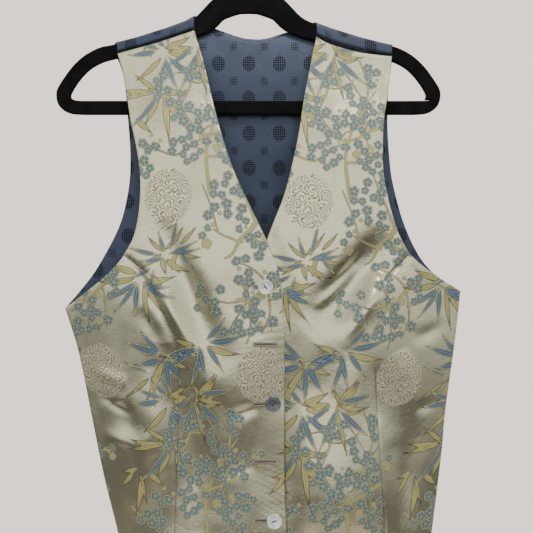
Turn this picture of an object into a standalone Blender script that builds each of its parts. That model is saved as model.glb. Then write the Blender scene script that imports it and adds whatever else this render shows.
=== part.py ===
"""A fitted V-neck waistcoat on a thin flocked hanger.

Metres, +Z up, the front of the waistcoat towards -Y. Tables are in millimetres, in the same frame.
The origin is the inner top of the hanger's hook, where a rail holds it.
Right and left are the wearer's, so the right front is at -X. It lies over the left front.
"""

import math
from collections import namedtuple

import bpy
from mathutils import Quaternion, Vector

MM = 0.001

# Walls and gaps
FRONT_WALL = 1.6
BACK_WALL = 1.4
LINING_WALL = 1.0
SEAM_GAP = 0.35
SEAT_GAP = 0.4
LAYER_GAP = 3.3
LINING_GAP = 0.35

# Hanger
HANGER_THICKNESS = 5.5
HANGER_EDGE_ROUND = 2.4
HANGER_BOTTOM = -231.5
HOOK_WIRE = 3.5
HOOK_INNER_RADIUS = 19.0
HOOK_TIP_ANGLE = 205
HOOK_FOOT_ANGLE = -45
HOOK_STEPS = 22
SHANK_STEPS = 10

# The cloth's middle surface where it folds over the hanger's arms
SHOULDER_RADIUS = 5.2
SHOULDER_DROP = SHOULDER_RADIUS - BACK_WALL / 2 - SEAT_GAP

# Buttons
BUTTON_RADIUS = 8.4
BUTTON_THICKNESS = 2.5
BUTTON_HOLE_RADIUS = 0.9
BUTTON_HOLE_APART = 3.8
BUTTON_SEAT = 0.35
BUTTON_SIDES = 20

# Grid of each panel: squares across and down
FRONT_GRID = (20, 36)
BACK_GRID = (20, 28)
LINING_GRID = (14, 22)
FOLD_OVER_STEPS = 6
SAMPLES = 24

# Shares of the back's top edge that are shoulder, neckline and shoulder
NECK_STARTS = 0.3
NECK_ENDS = 0.7

Point = namedtuple("Point", "x z")
Section = namedtuple("Section", "z left right front_edge front_crown back_edge back_crown")
Mound = namedtuple("Mound", "x z across down height")
Fold = namedtuple("Fold", "start middle end width depth")
Button = namedtuple("Button", "number x z fastened turn")

# Cross-sections of the hanging body: where its sides are, how far its two edges stand
# before and behind the hanger's plane, and how far the middle bulges beyond them
BODY = (
    Section(-100, -212, 246, 5.2, 0, 5.2, 0),
    Section(-165, -212, 246, 5.2, 1, 5.2, 0),
    Section(-200, -212, 246, 5.4, 5, 5.2, 1),
    Section(-250, -212, 246, 5.4, 14, 5.2, 4),
    Section(-300, -212, 246, 4.5, 23, 4.5, 8),
    Section(-350, -212, 246, 3.2, 30, 3.5, 12),
    Section(-400, -212, 246, 2.0, 34, 2.0, 15),
    Section(-450, -212, 243, 0.95, 35, 0.95, 17),
    Section(-500, -198, 238, 0.95, 34, 0.95, 17),
    Section(-560, -185, 230, 0.95, 31, 0.95, 15),
    Section(-640, -169, 221, 0.95, 31, 0.95, 16),
    Section(-720, -150, 211, 0.95, 34, 0.95, 20),
    Section(-800, -146, 208, 0.95, 35, 0.95, 22),
)
CROWN_POWER = 2.5

# Fullness that the armhole dart and the waist dart make at each bust point
BUST = (
    Mound(-74, -447, 62, 75, 10),
    Mound(128, -452, 62, 75, 10),
)

# The largest folds of the fronts. Depth is inwards, so a ridge has a negative one.
FOLDS = (
    Fold(Point(-98, -352), Point(-66, -430), Point(-46, -535), 17, 8),
    Fold(Point(-104, -398), Point(-80, -446), Point(-48, -500), 12, -5),
    Fold(Point(166, -350), Point(124, -418), Point(74, -472), 21, 11),
    Fold(Point(150, -402), Point(128, -440), Point(98, -486), 14, -5),
    Fold(Point(-150, -560), Point(-140, -584), Point(-112, -600), 15, 4),
    Fold(Point(190, -560), Point(180, -640), Point(176, -715), 18, 5),
)

# Edges of the right front
ARMHOLE_RIGHT = (
    Point(-150.5, -162), Point(-142.3, -190), Point(-134.3, -236), Point(-124.4, -280),
    Point(-120.8, -322), Point(-124.9, -365.5), Point(-137.5, -392.5), Point(-157.7, -415.5),
    Point(-197, -445), Point(-212.2, -455),
)
SIDE_RIGHT = (
    Point(-212.2, -455), Point(-196.3, -506), Point(-181.2, -580), Point(-166.8, -651),
    Point(-151, -715), Point(-147, -738),
)
NECK_RIGHT = (
    Point(-61.8, -135.5), Point(-50, -176), Point(-39.3, -221), Point(-26.1, -268.5),
    Point(-14, -303), Point(0, -334), Point(21.2, -378), Point(34.5, -412),
)
FRONT_EDGE_RIGHT = (
    Point(34.5, -412), Point(37.5, -432), Point(39.2, -460), Point(40.8, -490), Point(41, -555),
    Point(41, -650), Point(43, -700), Point(42, -714), Point(37, -728), Point(8, -790),
)
SHOULDER_SEAM_RIGHT = (Point(-150.5, -162), Point(-105, -149.5), Point(-61.8, -135.5))
HEM_RIGHT = (Point(-147, -738), Point(-100, -751), Point(-45, -769), Point(8, -790))

# Edges of the left front. Its own front edge lies under the right front.
ARMHOLE_LEFT = (
    Point(165.2, -165.4), Point(160.2, -206), Point(153.9, -244), Point(152.2, -273),
    Point(152.6, -302), Point(158.9, -338), Point(169, -369.5), Point(184.3, -395),
    Point(209.7, -414.5), Point(245.3, -435.4),
)
SIDE_LEFT = (
    Point(245.3, -435.4), Point(240.3, -483), Point(227.9, -573), Point(223.5, -624),
    Point(212.2, -715), Point(209, -738),
)
NECK_LEFT = (
    Point(78.2, -142.6), Point(72.1, -171), Point(64.3, -211), Point(57.6, -253.5),
    Point(50.9, -286.5), Point(41.5, -323.5), Point(30.3, -353.5), Point(6, -414),
)
FRONT_EDGE_LEFT = (
    Point(6, -414), Point(6, -432), Point(10, -480), Point(14, -555), Point(15, -650),
    Point(17, -708), Point(22, -722), Point(54, -790),
)
SHOULDER_SEAM_LEFT = (
    Point(165.2, -165.4), Point(128.2, -160.3), Point(94, -150.8), Point(78.2, -142.6),
)
HEM_LEFT = (Point(209, -738), Point(165, -751), Point(108, -769), Point(54, -790))

# Edges of the back. Its shoulders start where the cloth begins to fold over the hanger.
BACK_ARMHOLE_RIGHT = (
    Point(-158.5, -154.8), Point(-150, -172), Point(-144.5, -194), Point(-141.2, -232),
    Point(-138.8, -275), Point(-141.2, -315), Point(-151.2, -357.5), Point(-170.6, -397.5),
    Point(-186, -422), Point(-212.2, -455),
)
BACK_ARMHOLE_LEFT = (
    Point(169, -156.6), Point(166, -178), Point(163.2, -204), Point(162.5, -236),
    Point(164.8, -275), Point(169.3, -308), Point(180.8, -352), Point(197.6, -390.5),
    Point(217, -415.5), Point(245.3, -435.4),
)
NECKLINE_BACK = (
    Point(-60.7, -121.7), Point(-37.3, -130), Point(-10, -139.5), Point(7, -141.8),
    Point(22, -140.5), Point(45, -133.5), Point(72.6, -128.4),
)
HEM_BACK = (Point(-147, -738), Point(30, -744), Point(209, -738))

# How far in from the back's edges its lining ends, as shares of the back's width and height
LINING_INSET = 0.012
LINING_TOP = 0.006
LINING_BOTTOM = 0.985

# Half outlines of the hanger, from the middle outwards
HANGER_TOP = (
    Point(8, -71), Point(22, -80), Point(44, -100.5), Point(60, -117), Point(72, -124),
    Point(95, -132.5), Point(130, -143.5), Point(158, -150.5), Point(168, -152.3),
    Point(179, -156.5), Point(192, -164.5), Point(204, -176), Point(214, -189.5),
    Point(221, -201), Point(222.5, -209), Point(220.3, -219), Point(213.6, -226.5),
    Point(204, -230.5), Point(190, HANGER_BOTTOM),
)
HANGER_WINDOW = (
    Point(0, -114.5), Point(10.4, -115), Point(20, -118), Point(28.5, -121.5), Point(36, -129),
    Point(46, -136), Point(60, -141.5), Point(76, -146), Point(110, -155.5), Point(152.6, -166.5),
    Point(169.7, -171.5), Point(184, -180), Point(196, -193), Point(205, -208),
    Point(203, -213.5), Point(195, -215.2), Point(0, -215.2),
)

# The hook's wire from the end of its round down to the hanger's neck
HOOK_SHANK = (Point(6.5, -41.5), Point(1, -51), Point(0, -60), Point(0, -70.7))

BUTTONS = (
    Button(1, 19.8, -429.5, True, -48),
    Button(2, 27.8, -493, False, 10),
    Button(3, 28.4, -558.5, True, 35),
    Button(4, 29.2, -622.5, False, -20),
    Button(5, 29.8, -686.5, True, 20),
)


def smooth_line(points):
    """A function of 0 to 1 along a smooth curve through the points, evenly by length."""
    last = len(points) - 1
    fine = []
    for i in range(last):
        before, start, end, after = (points[min(max(i + k, 0), last)] for k in (-1, 0, 1, 2))
        for step in range(SAMPLES):
            t = step / SAMPLES
            fine.append(tuple(
                0.5 * (2 * b + (c - a) * t + (2 * a - 5 * b + 4 * c - d) * t ** 2
                       + (3 * b - a - 3 * c + d) * t ** 3)
                for a, b, c, d in zip(before, start, end, after)
            ))
    fine.append(tuple(points[-1]))
    lengths = [0.0]
    for a, b in zip(fine, fine[1:]):
        lengths.append(lengths[-1] + math.dist(a, b))

    def at(share):
        wanted = min(max(share, 0.0), 1.0) * lengths[-1]
        k = 1
        while k < len(fine) - 1 and lengths[k] < wanted:
            k += 1
        part = (wanted - lengths[k - 1]) / (lengths[k] - lengths[k - 1])
        return tuple(a + (b - a) * part for a, b in zip(fine[k - 1], fine[k]))

    return at


def joined(breaks, *lines):
    """One function of 0 to 1 that runs along the lines in turn, with a corner at each break."""
    bounds = (0.0, *breaks, 1.0)

    def at(share):
        k = 0
        while k < len(lines) - 1 and share > bounds[k + 1]:
            k += 1
        return lines[k]((share - bounds[k]) / (bounds[k + 1] - bounds[k]))

    return at


def patch(near, far, top, bottom):
    """A function of (across, down) that fills four edges: the panel as seen from the front."""
    corners = (near(0), far(0), near(1), far(1))

    def at(u, v):
        sides = zip(near(v), far(v), top(u), bottom(u), *corners)
        return tuple(
            (1 - u) * n + u * f + (1 - v) * t + v * b
            - (1 - u) * (1 - v) * n0 - u * (1 - v) * f0 - (1 - u) * v * n1 - u * v * f1
            for n, f, t, b, n0, f0, n1, f1 in sides
        )

    return at


def smooth_step(value):
    value = min(max(value, 0.0), 1.0)
    return value * value * (3 - 2 * value)


def height_in(rows, z, column):
    """A column of a table by height, eased between its rows."""
    heights = [row.z for row in rows]
    k = 1
    while k < len(rows) - 1 and heights[k] > z:
        k += 1
    share = min(max((heights[k - 1] - z) / (heights[k - 1] - heights[k]), 0.0), 1.0)
    values = [getattr(row, column) for row in rows]
    before = values[max(k - 2, 0)]
    start, end = values[k - 1], values[k]
    after = values[min(k + 1, len(values) - 1)]
    slope_in, slope_out = (end - before) / 2, (after - start) / 2
    return (
        start * (2 * share ** 3 - 3 * share ** 2 + 1) + slope_in * (share ** 3 - 2 * share ** 2 + share)
        + end * (3 * share ** 2 - 2 * share ** 3) + slope_out * (share ** 3 - share ** 2)
    )


def crown(x, z):
    """1 along the body's middle, 0 at its sides."""
    left, right = height_in(BODY, z, "left"), height_in(BODY, z, "right")
    from_middle = abs(x - (left + right) / 2) / ((right - left) / 2)
    return 1 - min(from_middle, 1.0) ** CROWN_POWER


def fold_line(fold):
    """Points along a fold, each with its share of the fold's depth."""
    line = []
    for step in range(SAMPLES + 1):
        t = step / SAMPLES
        x, z = (
            (1 - t) ** 2 * a + 2 * t * (1 - t) * b + t ** 2 * c
            for a, b, c in zip(fold.start, fold.middle, fold.end)
        )
        line.append((x, z, math.sin(math.pi * t) ** 0.7))
    return line


FOLD_LINES = tuple((fold, fold_line(fold)) for fold in FOLDS)


def folds(x, z):
    total = 0.0
    for fold, line in FOLD_LINES:
        near = min(line, key=lambda p: (p[0] - x) ** 2 + (p[1] - z) ** 2)
        away = math.hypot(near[0] - x, near[1] - z) / fold.width
        total += fold.depth * near[2] * math.exp(-away ** 2)
    return total


def front_depth(x, z):
    """Y of the fronts' middle surface."""
    share = crown(x, z)
    y = -height_in(BODY, z, "front_edge") - height_in(BODY, z, "front_crown") * share
    for mound in BUST:
        spread = ((x - mound.x) / mound.across) ** 2 + ((z - mound.z) / mound.down) ** 2
        y -= mound.height * share * math.exp(-spread)
    return y + folds(x, z) * min(2 * share, 1.0)


def back_depth(x, z):
    """Y of the back's middle surface."""
    return height_in(BODY, z, "back_edge") + height_in(BODY, z, "back_crown") * crown(x, z)


OVER_EDGE = [*NECK_RIGHT[:-1], *FRONT_EDGE_RIGHT]
UNDERLAP = FRONT_WALL + LAYER_GAP
UNDERLAP_EASE = 24.0


def over_edge_x(z):
    """X of the right front's free edge at a height."""
    for upper, lower in zip(OVER_EDGE, OVER_EDGE[1:]):
        if z >= lower.z:
            return upper.x + (lower.x - upper.x) * min((z - upper.z) / (lower.z - upper.z), 1.0)
    return OVER_EDGE[-1].x


def under_depth(x, z):
    """Y of the left front's middle surface, which passes behind the right front."""
    hidden = smooth_step((over_edge_x(z) + UNDERLAP_EASE - x) / UNDERLAP_EASE)
    return front_depth(x, z) + UNDERLAP * hidden


def clear_scene():
    for thing in list(bpy.data.objects):
        bpy.data.objects.remove(thing, do_unlink=True)


def collection_named(name):
    made = bpy.data.collections.new(name)
    bpy.context.scene.collection.children.link(made)
    return made


def material(name, colour, roughness, metallic=0.0):
    made = bpy.data.materials.new(name)
    made.use_nodes = True
    shader = made.node_tree.nodes["Principled BSDF"]
    shader.inputs["Base Color"].default_value = (*colour, 1.0)
    shader.inputs["Roughness"].default_value = roughness
    shader.inputs["Metallic"].default_value = metallic
    return made


def wall(name, points, faces, thickness, finish, parts):
    """An open surface made a wall: points in millimetres are its middle."""
    mesh = bpy.data.meshes.new(name)
    mesh.from_pydata([Vector(p) * MM for p in points], [], faces)
    mesh.shade_smooth()
    mesh.materials.append(finish)
    piece = bpy.data.objects.new(name, mesh)
    parts.objects.link(piece)
    solid = piece.modifiers.new("Wall", "SOLIDIFY")
    solid.thickness = thickness * MM
    solid.offset = 0.0
    solid.use_even_offset = True
    return piece


def grid_faces(across, down, flipped):
    """Squares of a grid whose points run across, row by row."""
    faces = []
    for row in range(down):
        for column in range(across):
            first = row * (across + 1) + column
            square = (first, first + 1, first + across + 2, first + across + 1)
            faces.append(square[::-1] if flipped else square)
    return faces


def panel(name, outline, depth, grid, thickness, finish, parts, flipped):
    across, down = grid
    points = []
    for row in range(down + 1):
        for column in range(across + 1):
            x, z = outline(column / across, row / down)
            points.append((x, depth(x, z), z))
    return wall(name, points, grid_faces(across, down, flipped), thickness, finish, parts)


def front_outlines():
    """The two fronts as seen from the front, from side to front edge and from shoulder to hem."""
    right = patch(
        joined((0.5,), smooth_line(ARMHOLE_RIGHT), smooth_line(SIDE_RIGHT)),
        joined((0.5,), smooth_line(NECK_RIGHT), smooth_line(FRONT_EDGE_RIGHT)),
        smooth_line(SHOULDER_SEAM_RIGHT),
        smooth_line(HEM_RIGHT),
    )
    left = patch(
        joined((0.5,), smooth_line(ARMHOLE_LEFT), smooth_line(SIDE_LEFT)),
        joined((0.5,), smooth_line(NECK_LEFT), smooth_line(FRONT_EDGE_LEFT)),
        smooth_line(SHOULDER_SEAM_LEFT),
        smooth_line(HEM_LEFT),
    )
    return right, left


def fold_centre(x):
    """Height of the centre that the cloth turns about, over the hanger's arm at this place."""
    from_middle = abs(x)
    for inner, outer in zip(HANGER_TOP, HANGER_TOP[1:]):
        if from_middle <= outer.x:
            share = (from_middle - inner.x) / (outer.x - inner.x)
            return inner.z + (outer.z - inner.z) * share - SHOULDER_DROP
    return HANGER_TOP[-1].z - SHOULDER_DROP


def shoulder_line(armhole_x, neck_x):
    """Where the back starts to fold over, between its armhole and its neck."""
    def at(share):
        x = armhole_x + (neck_x - armhole_x) * share
        return x, fold_centre(x)

    return at


def back_outline():
    neck_right, neck_left = NECKLINE_BACK[0], NECKLINE_BACK[-1]
    right_end, left_end = BACK_ARMHOLE_RIGHT[0], BACK_ARMHOLE_LEFT[0]
    neckline = (
        Point(neck_right.x, fold_centre(neck_right.x)), *NECKLINE_BACK[1:-1],
        Point(neck_left.x, fold_centre(neck_left.x)),
    )
    right_armhole = (Point(right_end.x, fold_centre(right_end.x)), *BACK_ARMHOLE_RIGHT[1:])
    left_armhole = (Point(left_end.x, fold_centre(left_end.x)), *BACK_ARMHOLE_LEFT[1:])
    return patch(
        joined((0.5,), smooth_line(right_armhole), smooth_line(SIDE_RIGHT)),
        joined((0.5,), smooth_line(left_armhole), smooth_line(SIDE_LEFT)),
        joined(
            (NECK_STARTS, NECK_ENDS),
            shoulder_line(right_end.x, neck_right.x),
            smooth_line(neckline),
            shoulder_line(neck_left.x, left_end.x),
        ),
        smooth_line(HEM_BACK),
    )


def fold_over(start_x, seam):
    """Points from the back of a shoulder, over the hanger's arm and down to the seam."""
    seam_x, seam_z = seam
    points = []
    for step in range(1, FOLD_OVER_STEPS + 1):
        angle = math.pi * step / FOLD_OVER_STEPS
        x = start_x + (seam_x - start_x) * step / (FOLD_OVER_STEPS + 1)
        rise = SHOULDER_RADIUS * math.sin(angle)
        points.append((x, SHOULDER_RADIUS * math.cos(angle), fold_centre(x) + rise))
    return [*points, (seam_x, -SHOULDER_RADIUS, seam_z + SEAM_GAP)]


def back_panel(outline, finish, parts):
    across, down = BACK_GRID
    points = []
    for row in range(down + 1):
        for column in range(across + 1):
            x, z = outline(column / across, row / down)
            points.append((x, back_depth(x, z), z))
    faces = grid_faces(across, down, False)
    neck_first, neck_last = round(NECK_STARTS * across), round(NECK_ENDS * across)
    seams = (
        (0, neck_first, smooth_line(SHOULDER_SEAM_RIGHT), False),
        (neck_last, across, smooth_line(SHOULDER_SEAM_LEFT), True),
    )
    for first, last, seam, from_neck in seams:
        previous = list(range(first, last + 1))
        columns = []
        for column in previous:
            share = (column - first) / (last - first)
            columns.append(fold_over(points[column][0], seam(1 - share if from_neck else share)))
        for level in range(len(columns[0])):
            row = list(range(len(points), len(points) + len(columns)))
            points.extend(column[level] for column in columns)
            for k in range(len(row) - 1):
                faces.append((previous[k], row[k], row[k + 1], previous[k + 1]))
            previous = row
    return wall("back", points, faces, BACK_WALL, finish, parts)


def lining_panel(outline, finish, parts):
    inwards = BACK_WALL / 2 + LINING_GAP + LINING_WALL / 2

    def inset(u, v):
        return outline(
            LINING_INSET + (1 - 2 * LINING_INSET) * u,
            LINING_TOP + (LINING_BOTTOM - LINING_TOP) * v,
        )

    def depth(x, z):
        return back_depth(x, z) - inwards

    return panel("back_lining", inset, depth, LINING_GRID, LINING_WALL, finish, parts, True)


def outward_normal(depth, x, z):
    reach = 4.0
    across = Vector((2 * reach, depth(x + reach, z) - depth(x - reach, z), 0))
    up = Vector((0, depth(x, z + reach) - depth(x, z - reach), 2 * reach))
    return across.cross(up).normalized()


def turned(name, profile, sides, parts):
    """A solid turned about +Z from a profile of (radius, height), top to bottom."""
    mesh = bpy.data.meshes.new(name)
    edges = [(k, k + 1) for k in range(len(profile) - 1)]
    mesh.from_pydata([(radius * MM, 0, height * MM) for radius, height in profile], edges, [])
    piece = bpy.data.objects.new(name, mesh)
    parts.objects.link(piece)
    spin = piece.modifiers.new("Turn", "SCREW")
    spin.steps = sides
    spin.render_steps = sides
    spin.use_merge_vertices = True
    spin.merge_threshold = 0.00005
    return piece


def button_mesh(finish, parts, cutters):
    """A two-hole button, its back at the origin and its face towards +Z."""
    edge, high = BUTTON_RADIUS, BUTTON_THICKNESS
    profile = (
        (0, 0.64 * high), (0.6 * edge, 0.68 * high), (0.74 * edge, 0.98 * high), (0.88 * edge, high),
        (0.98 * edge, 0.8 * high), (edge, 0.45 * high), (0.9 * edge, 0.0), (0, 0),
    )
    blank = turned("button_blank", profile, BUTTON_SIDES, parts)
    for number, side in enumerate((-1, 1)):
        bpy.ops.mesh.primitive_cylinder_add(
            vertices=8, radius=BUTTON_HOLE_RADIUS * MM, depth=3 * high * MM,
            location=(side * BUTTON_HOLE_APART / 2 * MM, 0, 0),
        )
        cutter = bpy.context.object
        cutter.name = f"button_hole_cutter_{number}"
        for home in list(cutter.users_collection):
            home.objects.unlink(cutter)
        cutters.objects.link(cutter)
        cutter.hide_render = True
        cutter.display_type = "WIRE"
        cut = blank.modifiers.new(f"Hole {number}", "BOOLEAN")
        cut.object = cutter
    bpy.context.view_layer.update()
    graph = bpy.context.evaluated_depsgraph_get()
    mesh = bpy.data.meshes.new_from_object(blank.evaluated_get(graph))
    mesh.name = "button"
    mesh.materials.clear()
    mesh.materials.append(finish)
    mesh.shade_smooth()
    mesh.set_sharp_from_angle(angle=math.radians(35))
    for used in (blank, *list(cutters.objects)):
        bpy.data.objects.remove(used, do_unlink=True)
    return mesh


def buttons(finish, parts, cutters):
    mesh = button_mesh(finish, parts, cutters)
    for button in BUTTONS:
        depth = front_depth if button.fastened else under_depth
        normal = outward_normal(depth, button.x, button.z)
        seat = Vector((button.x, depth(button.x, button.z), button.z))
        seat += normal * (FRONT_WALL / 2 + BUTTON_SEAT)
        piece = bpy.data.objects.new(f"button_{button.number}", mesh)
        piece.location = seat * MM
        piece.rotation_mode = "QUATERNION"
        turn = Quaternion((0, 0, 1), math.radians(button.turn))
        piece.rotation_quaternion = normal.to_track_quat("Z", "Y") @ turn
        parts.objects.link(piece)


def mirrored_outline(half):
    """A closed outline from a half one, whose first and last points may lie on the middle."""
    left = [(-p.x, p.z) for p in reversed(half) if p.x > 0]
    return [(p.x, p.z) for p in half] + left


def hanger_body(finish, parts):
    curve = bpy.data.curves.new("hanger", "CURVE")
    curve.dimensions = "2D"
    curve.fill_mode = "BOTH"
    curve.extrude = (HANGER_THICKNESS / 2 - HANGER_EDGE_ROUND) * MM
    curve.bevel_depth = HANGER_EDGE_ROUND * MM
    curve.bevel_resolution = 1
    curve.offset = -HANGER_EDGE_ROUND * MM
    for half in (HANGER_TOP, HANGER_WINDOW):
        outline = mirrored_outline(half)
        spline = curve.splines.new("POLY")
        spline.points.add(len(outline) - 1)
        for point, (x, z) in zip(spline.points, outline):
            point.co = (x * MM, z * MM, 0, 1)
        spline.use_cyclic_u = True
    curve.materials.append(finish)
    body = bpy.data.objects.new("hanger", curve)
    body.rotation_euler = (math.pi / 2, 0, 0)
    parts.objects.link(body)
    return body


def hook(finish, parts):
    radius = HOOK_INNER_RADIUS + HOOK_WIRE / 2
    line = []
    for step in range(HOOK_STEPS + 1):
        degrees = HOOK_TIP_ANGLE + (HOOK_FOOT_ANGLE - HOOK_TIP_ANGLE) * step / HOOK_STEPS
        angle = math.radians(degrees)
        line.append((radius * math.cos(angle), radius * math.sin(angle) - HOOK_INNER_RADIUS))
    shank = smooth_line((Point(*line[-1]), *HOOK_SHANK))
    line += [shank(step / SHANK_STEPS) for step in range(1, SHANK_STEPS + 1)]
    curve = bpy.data.curves.new("hanger_hook", "CURVE")
    curve.dimensions = "3D"
    curve.bevel_depth = HOOK_WIRE / 2 * MM
    curve.bevel_resolution = 2
    curve.use_fill_caps = True
    spline = curve.splines.new("POLY")
    spline.points.add(len(line) - 1)
    for point, (x, z) in zip(spline.points, line):
        point.co = (x * MM, 0, z * MM, 1)
    curve.materials.append(finish)
    piece = bpy.data.objects.new("hanger_hook", curve)
    parts.objects.link(piece)
    return piece


def build():
    clear_scene()
    parts = collection_named("waistcoat_on_hanger")
    cutters = collection_named("cutters")
    cutters.hide_render = True
    brocade = material("brocade", (0.62, 0.60, 0.50), 0.42)
    brocade_under = material("brocade_under", (0.62, 0.60, 0.50), 0.42)
    satin = material("satin_back", (0.09, 0.12, 0.22), 0.38)
    satin_lining = material("satin_lining", (0.10, 0.13, 0.24), 0.38)
    pearl = material("pearl", (0.85, 0.85, 0.83), 0.2)
    flock = material("flock", (0.012, 0.012, 0.014), 0.95)
    wire = material("hook_wire", (0.7, 0.7, 0.72), 0.25, 1.0)

    right, left = front_outlines()
    panel("front_right", right, front_depth, FRONT_GRID, FRONT_WALL, brocade, parts, True)
    panel("front_left", left, under_depth, FRONT_GRID, FRONT_WALL, brocade_under, parts, False)
    back = back_outline()
    back_panel(back, satin, parts)
    lining_panel(back, satin_lining, parts)
    buttons(pearl, parts, cutters)
    hanger_body(flock, parts)
    hook(wire, parts)


build()
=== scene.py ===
"""The look of the waistcoat and its hanger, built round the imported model.

Tables and shape functions are in millimetres, in the model's frame. Blender gets metres.
Right and left are the wearer's: the right front is at -X and lies over the left front.
"""

import math
from collections import namedtuple

import bpy
import numpy as np
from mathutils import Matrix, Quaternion, Vector
from mathutils.kdtree import KDTree


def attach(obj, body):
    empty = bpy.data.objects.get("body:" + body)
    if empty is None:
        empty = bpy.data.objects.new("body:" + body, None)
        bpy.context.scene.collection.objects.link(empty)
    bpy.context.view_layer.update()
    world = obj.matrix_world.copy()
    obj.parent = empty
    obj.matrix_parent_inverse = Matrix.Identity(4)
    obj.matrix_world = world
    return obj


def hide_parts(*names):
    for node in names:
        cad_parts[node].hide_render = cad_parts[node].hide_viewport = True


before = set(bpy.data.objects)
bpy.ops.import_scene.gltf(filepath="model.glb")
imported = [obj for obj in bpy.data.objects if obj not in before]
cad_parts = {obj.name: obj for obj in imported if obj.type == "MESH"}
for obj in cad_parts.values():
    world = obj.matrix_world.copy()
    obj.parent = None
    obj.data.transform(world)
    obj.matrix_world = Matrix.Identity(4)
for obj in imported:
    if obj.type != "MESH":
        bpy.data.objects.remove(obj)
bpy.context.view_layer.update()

MM = 0.001

# Walls, gaps and hanger sizes, the same as the solids have
FRONT_WALL = 1.6
BACK_WALL = 1.4
LINING_WALL = 1.0
SEAM_GAP = 0.35
SEAT_GAP = 0.4
LAYER_GAP = 3.3
LINING_GAP = 0.35
HANGER_THICKNESS = 5.5
HANGER_EDGE_ROUND = 2.4
HANGER_BOTTOM = -231.5
HOOK_WIRE = 3.5
HOOK_INNER_RADIUS = 19.0
HOOK_TIP_ANGLE = 205
HOOK_FOOT_ANGLE = -45
SHOULDER_RADIUS = 5.2
SHOULDER_DROP = SHOULDER_RADIUS - BACK_WALL / 2 - SEAT_GAP
BUTTON_RADIUS = 8.4
BUTTON_THICKNESS = 2.5
BUTTON_HOLE_RADIUS = 0.9
BUTTON_HOLE_APART = 3.8

# Grids of the cloth: squares across and down
FRONT_GRID = (124, 344)
BACK_GRID = (120, 200)
LINING_GRID = (90, 150)
FOLD_OVER_STEPS = 18
EDGE_ROLL = 1.1
ROLL_SHARES = (0.16, 0.45)
SAMPLES = 24
CREASE_SAMPLES = 72
DART_SAMPLES = 400
NECK_STARTS = 0.3
NECK_ENDS = 0.7

Point = namedtuple("Point", "x z")
Section = namedtuple("Section", "z left right front_edge front_crown back_edge back_crown")
Mound = namedtuple("Mound", "x z across down height")
Fold = namedtuple("Fold", "start middle end width depth")
Dart = namedtuple("Dart", "tip middle end take side")
Button = namedtuple("Button", "number x z fastened turn finish")
Buttonhole = namedtuple("Buttonhole", "number start end z")


def table(kind, *rows):
    """Rows of plain values as a table of one kind."""
    return tuple(kind(*row) for row in rows)


BODY = table(
    Section,
    (-100, -212, 246, 5.2, 0, 5.2, 0), (-165, -212, 246, 5.2, 1, 5.2, 0),
    (-200, -212, 246, 5.4, 5, 5.2, 1), (-250, -212, 246, 5.4, 14, 5.2, 4),
    (-300, -212, 246, 4.5, 23, 4.5, 8), (-350, -212, 246, 3.2, 30, 3.5, 12),
    (-400, -212, 246, 2.0, 34, 2.0, 15), (-450, -212, 243, 0.95, 35, 0.95, 17),
    (-500, -198, 238, 0.95, 34, 0.95, 17), (-560, -185, 230, 0.95, 31, 0.95, 15),
    (-640, -169, 221, 0.95, 31, 0.95, 16), (-720, -150, 211, 0.95, 34, 0.95, 20),
    (-800, -146, 208, 0.95, 35, 0.95, 22),
)
CROWN_POWER = 2.5

BUST = table(Mound, (-74, -447, 62, 75, 10), (128, -452, 62, 75, 10))

# Where the cloth swells out low on the fronts, between its hanging folds
SWELLS = table(Mound, (108, -650, 58, 78, 15), (-124, -600, 46, 64, 15), (0, -560, 45, 80, 9))

# The largest folds, much as the solids have them. Depth is inwards: a ridge has a negative one.
FOLDS = table(
    Fold,
    ((-98, -352), (-64, -430), (-34, -530), 17, 8),
    ((-108, -412), (-84, -452), (-52, -512), 10, -4.5),
    ((166, -350), (124, -418), (74, -472), 21, 11),
    ((158, -416), (134, -446), (100, -494), 12, -4.5),
    ((-150, -560), (-140, -584), (-112, -600), 15, 4),
    ((190, -560), (180, -640), (176, -715), 18, 5),
)

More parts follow.
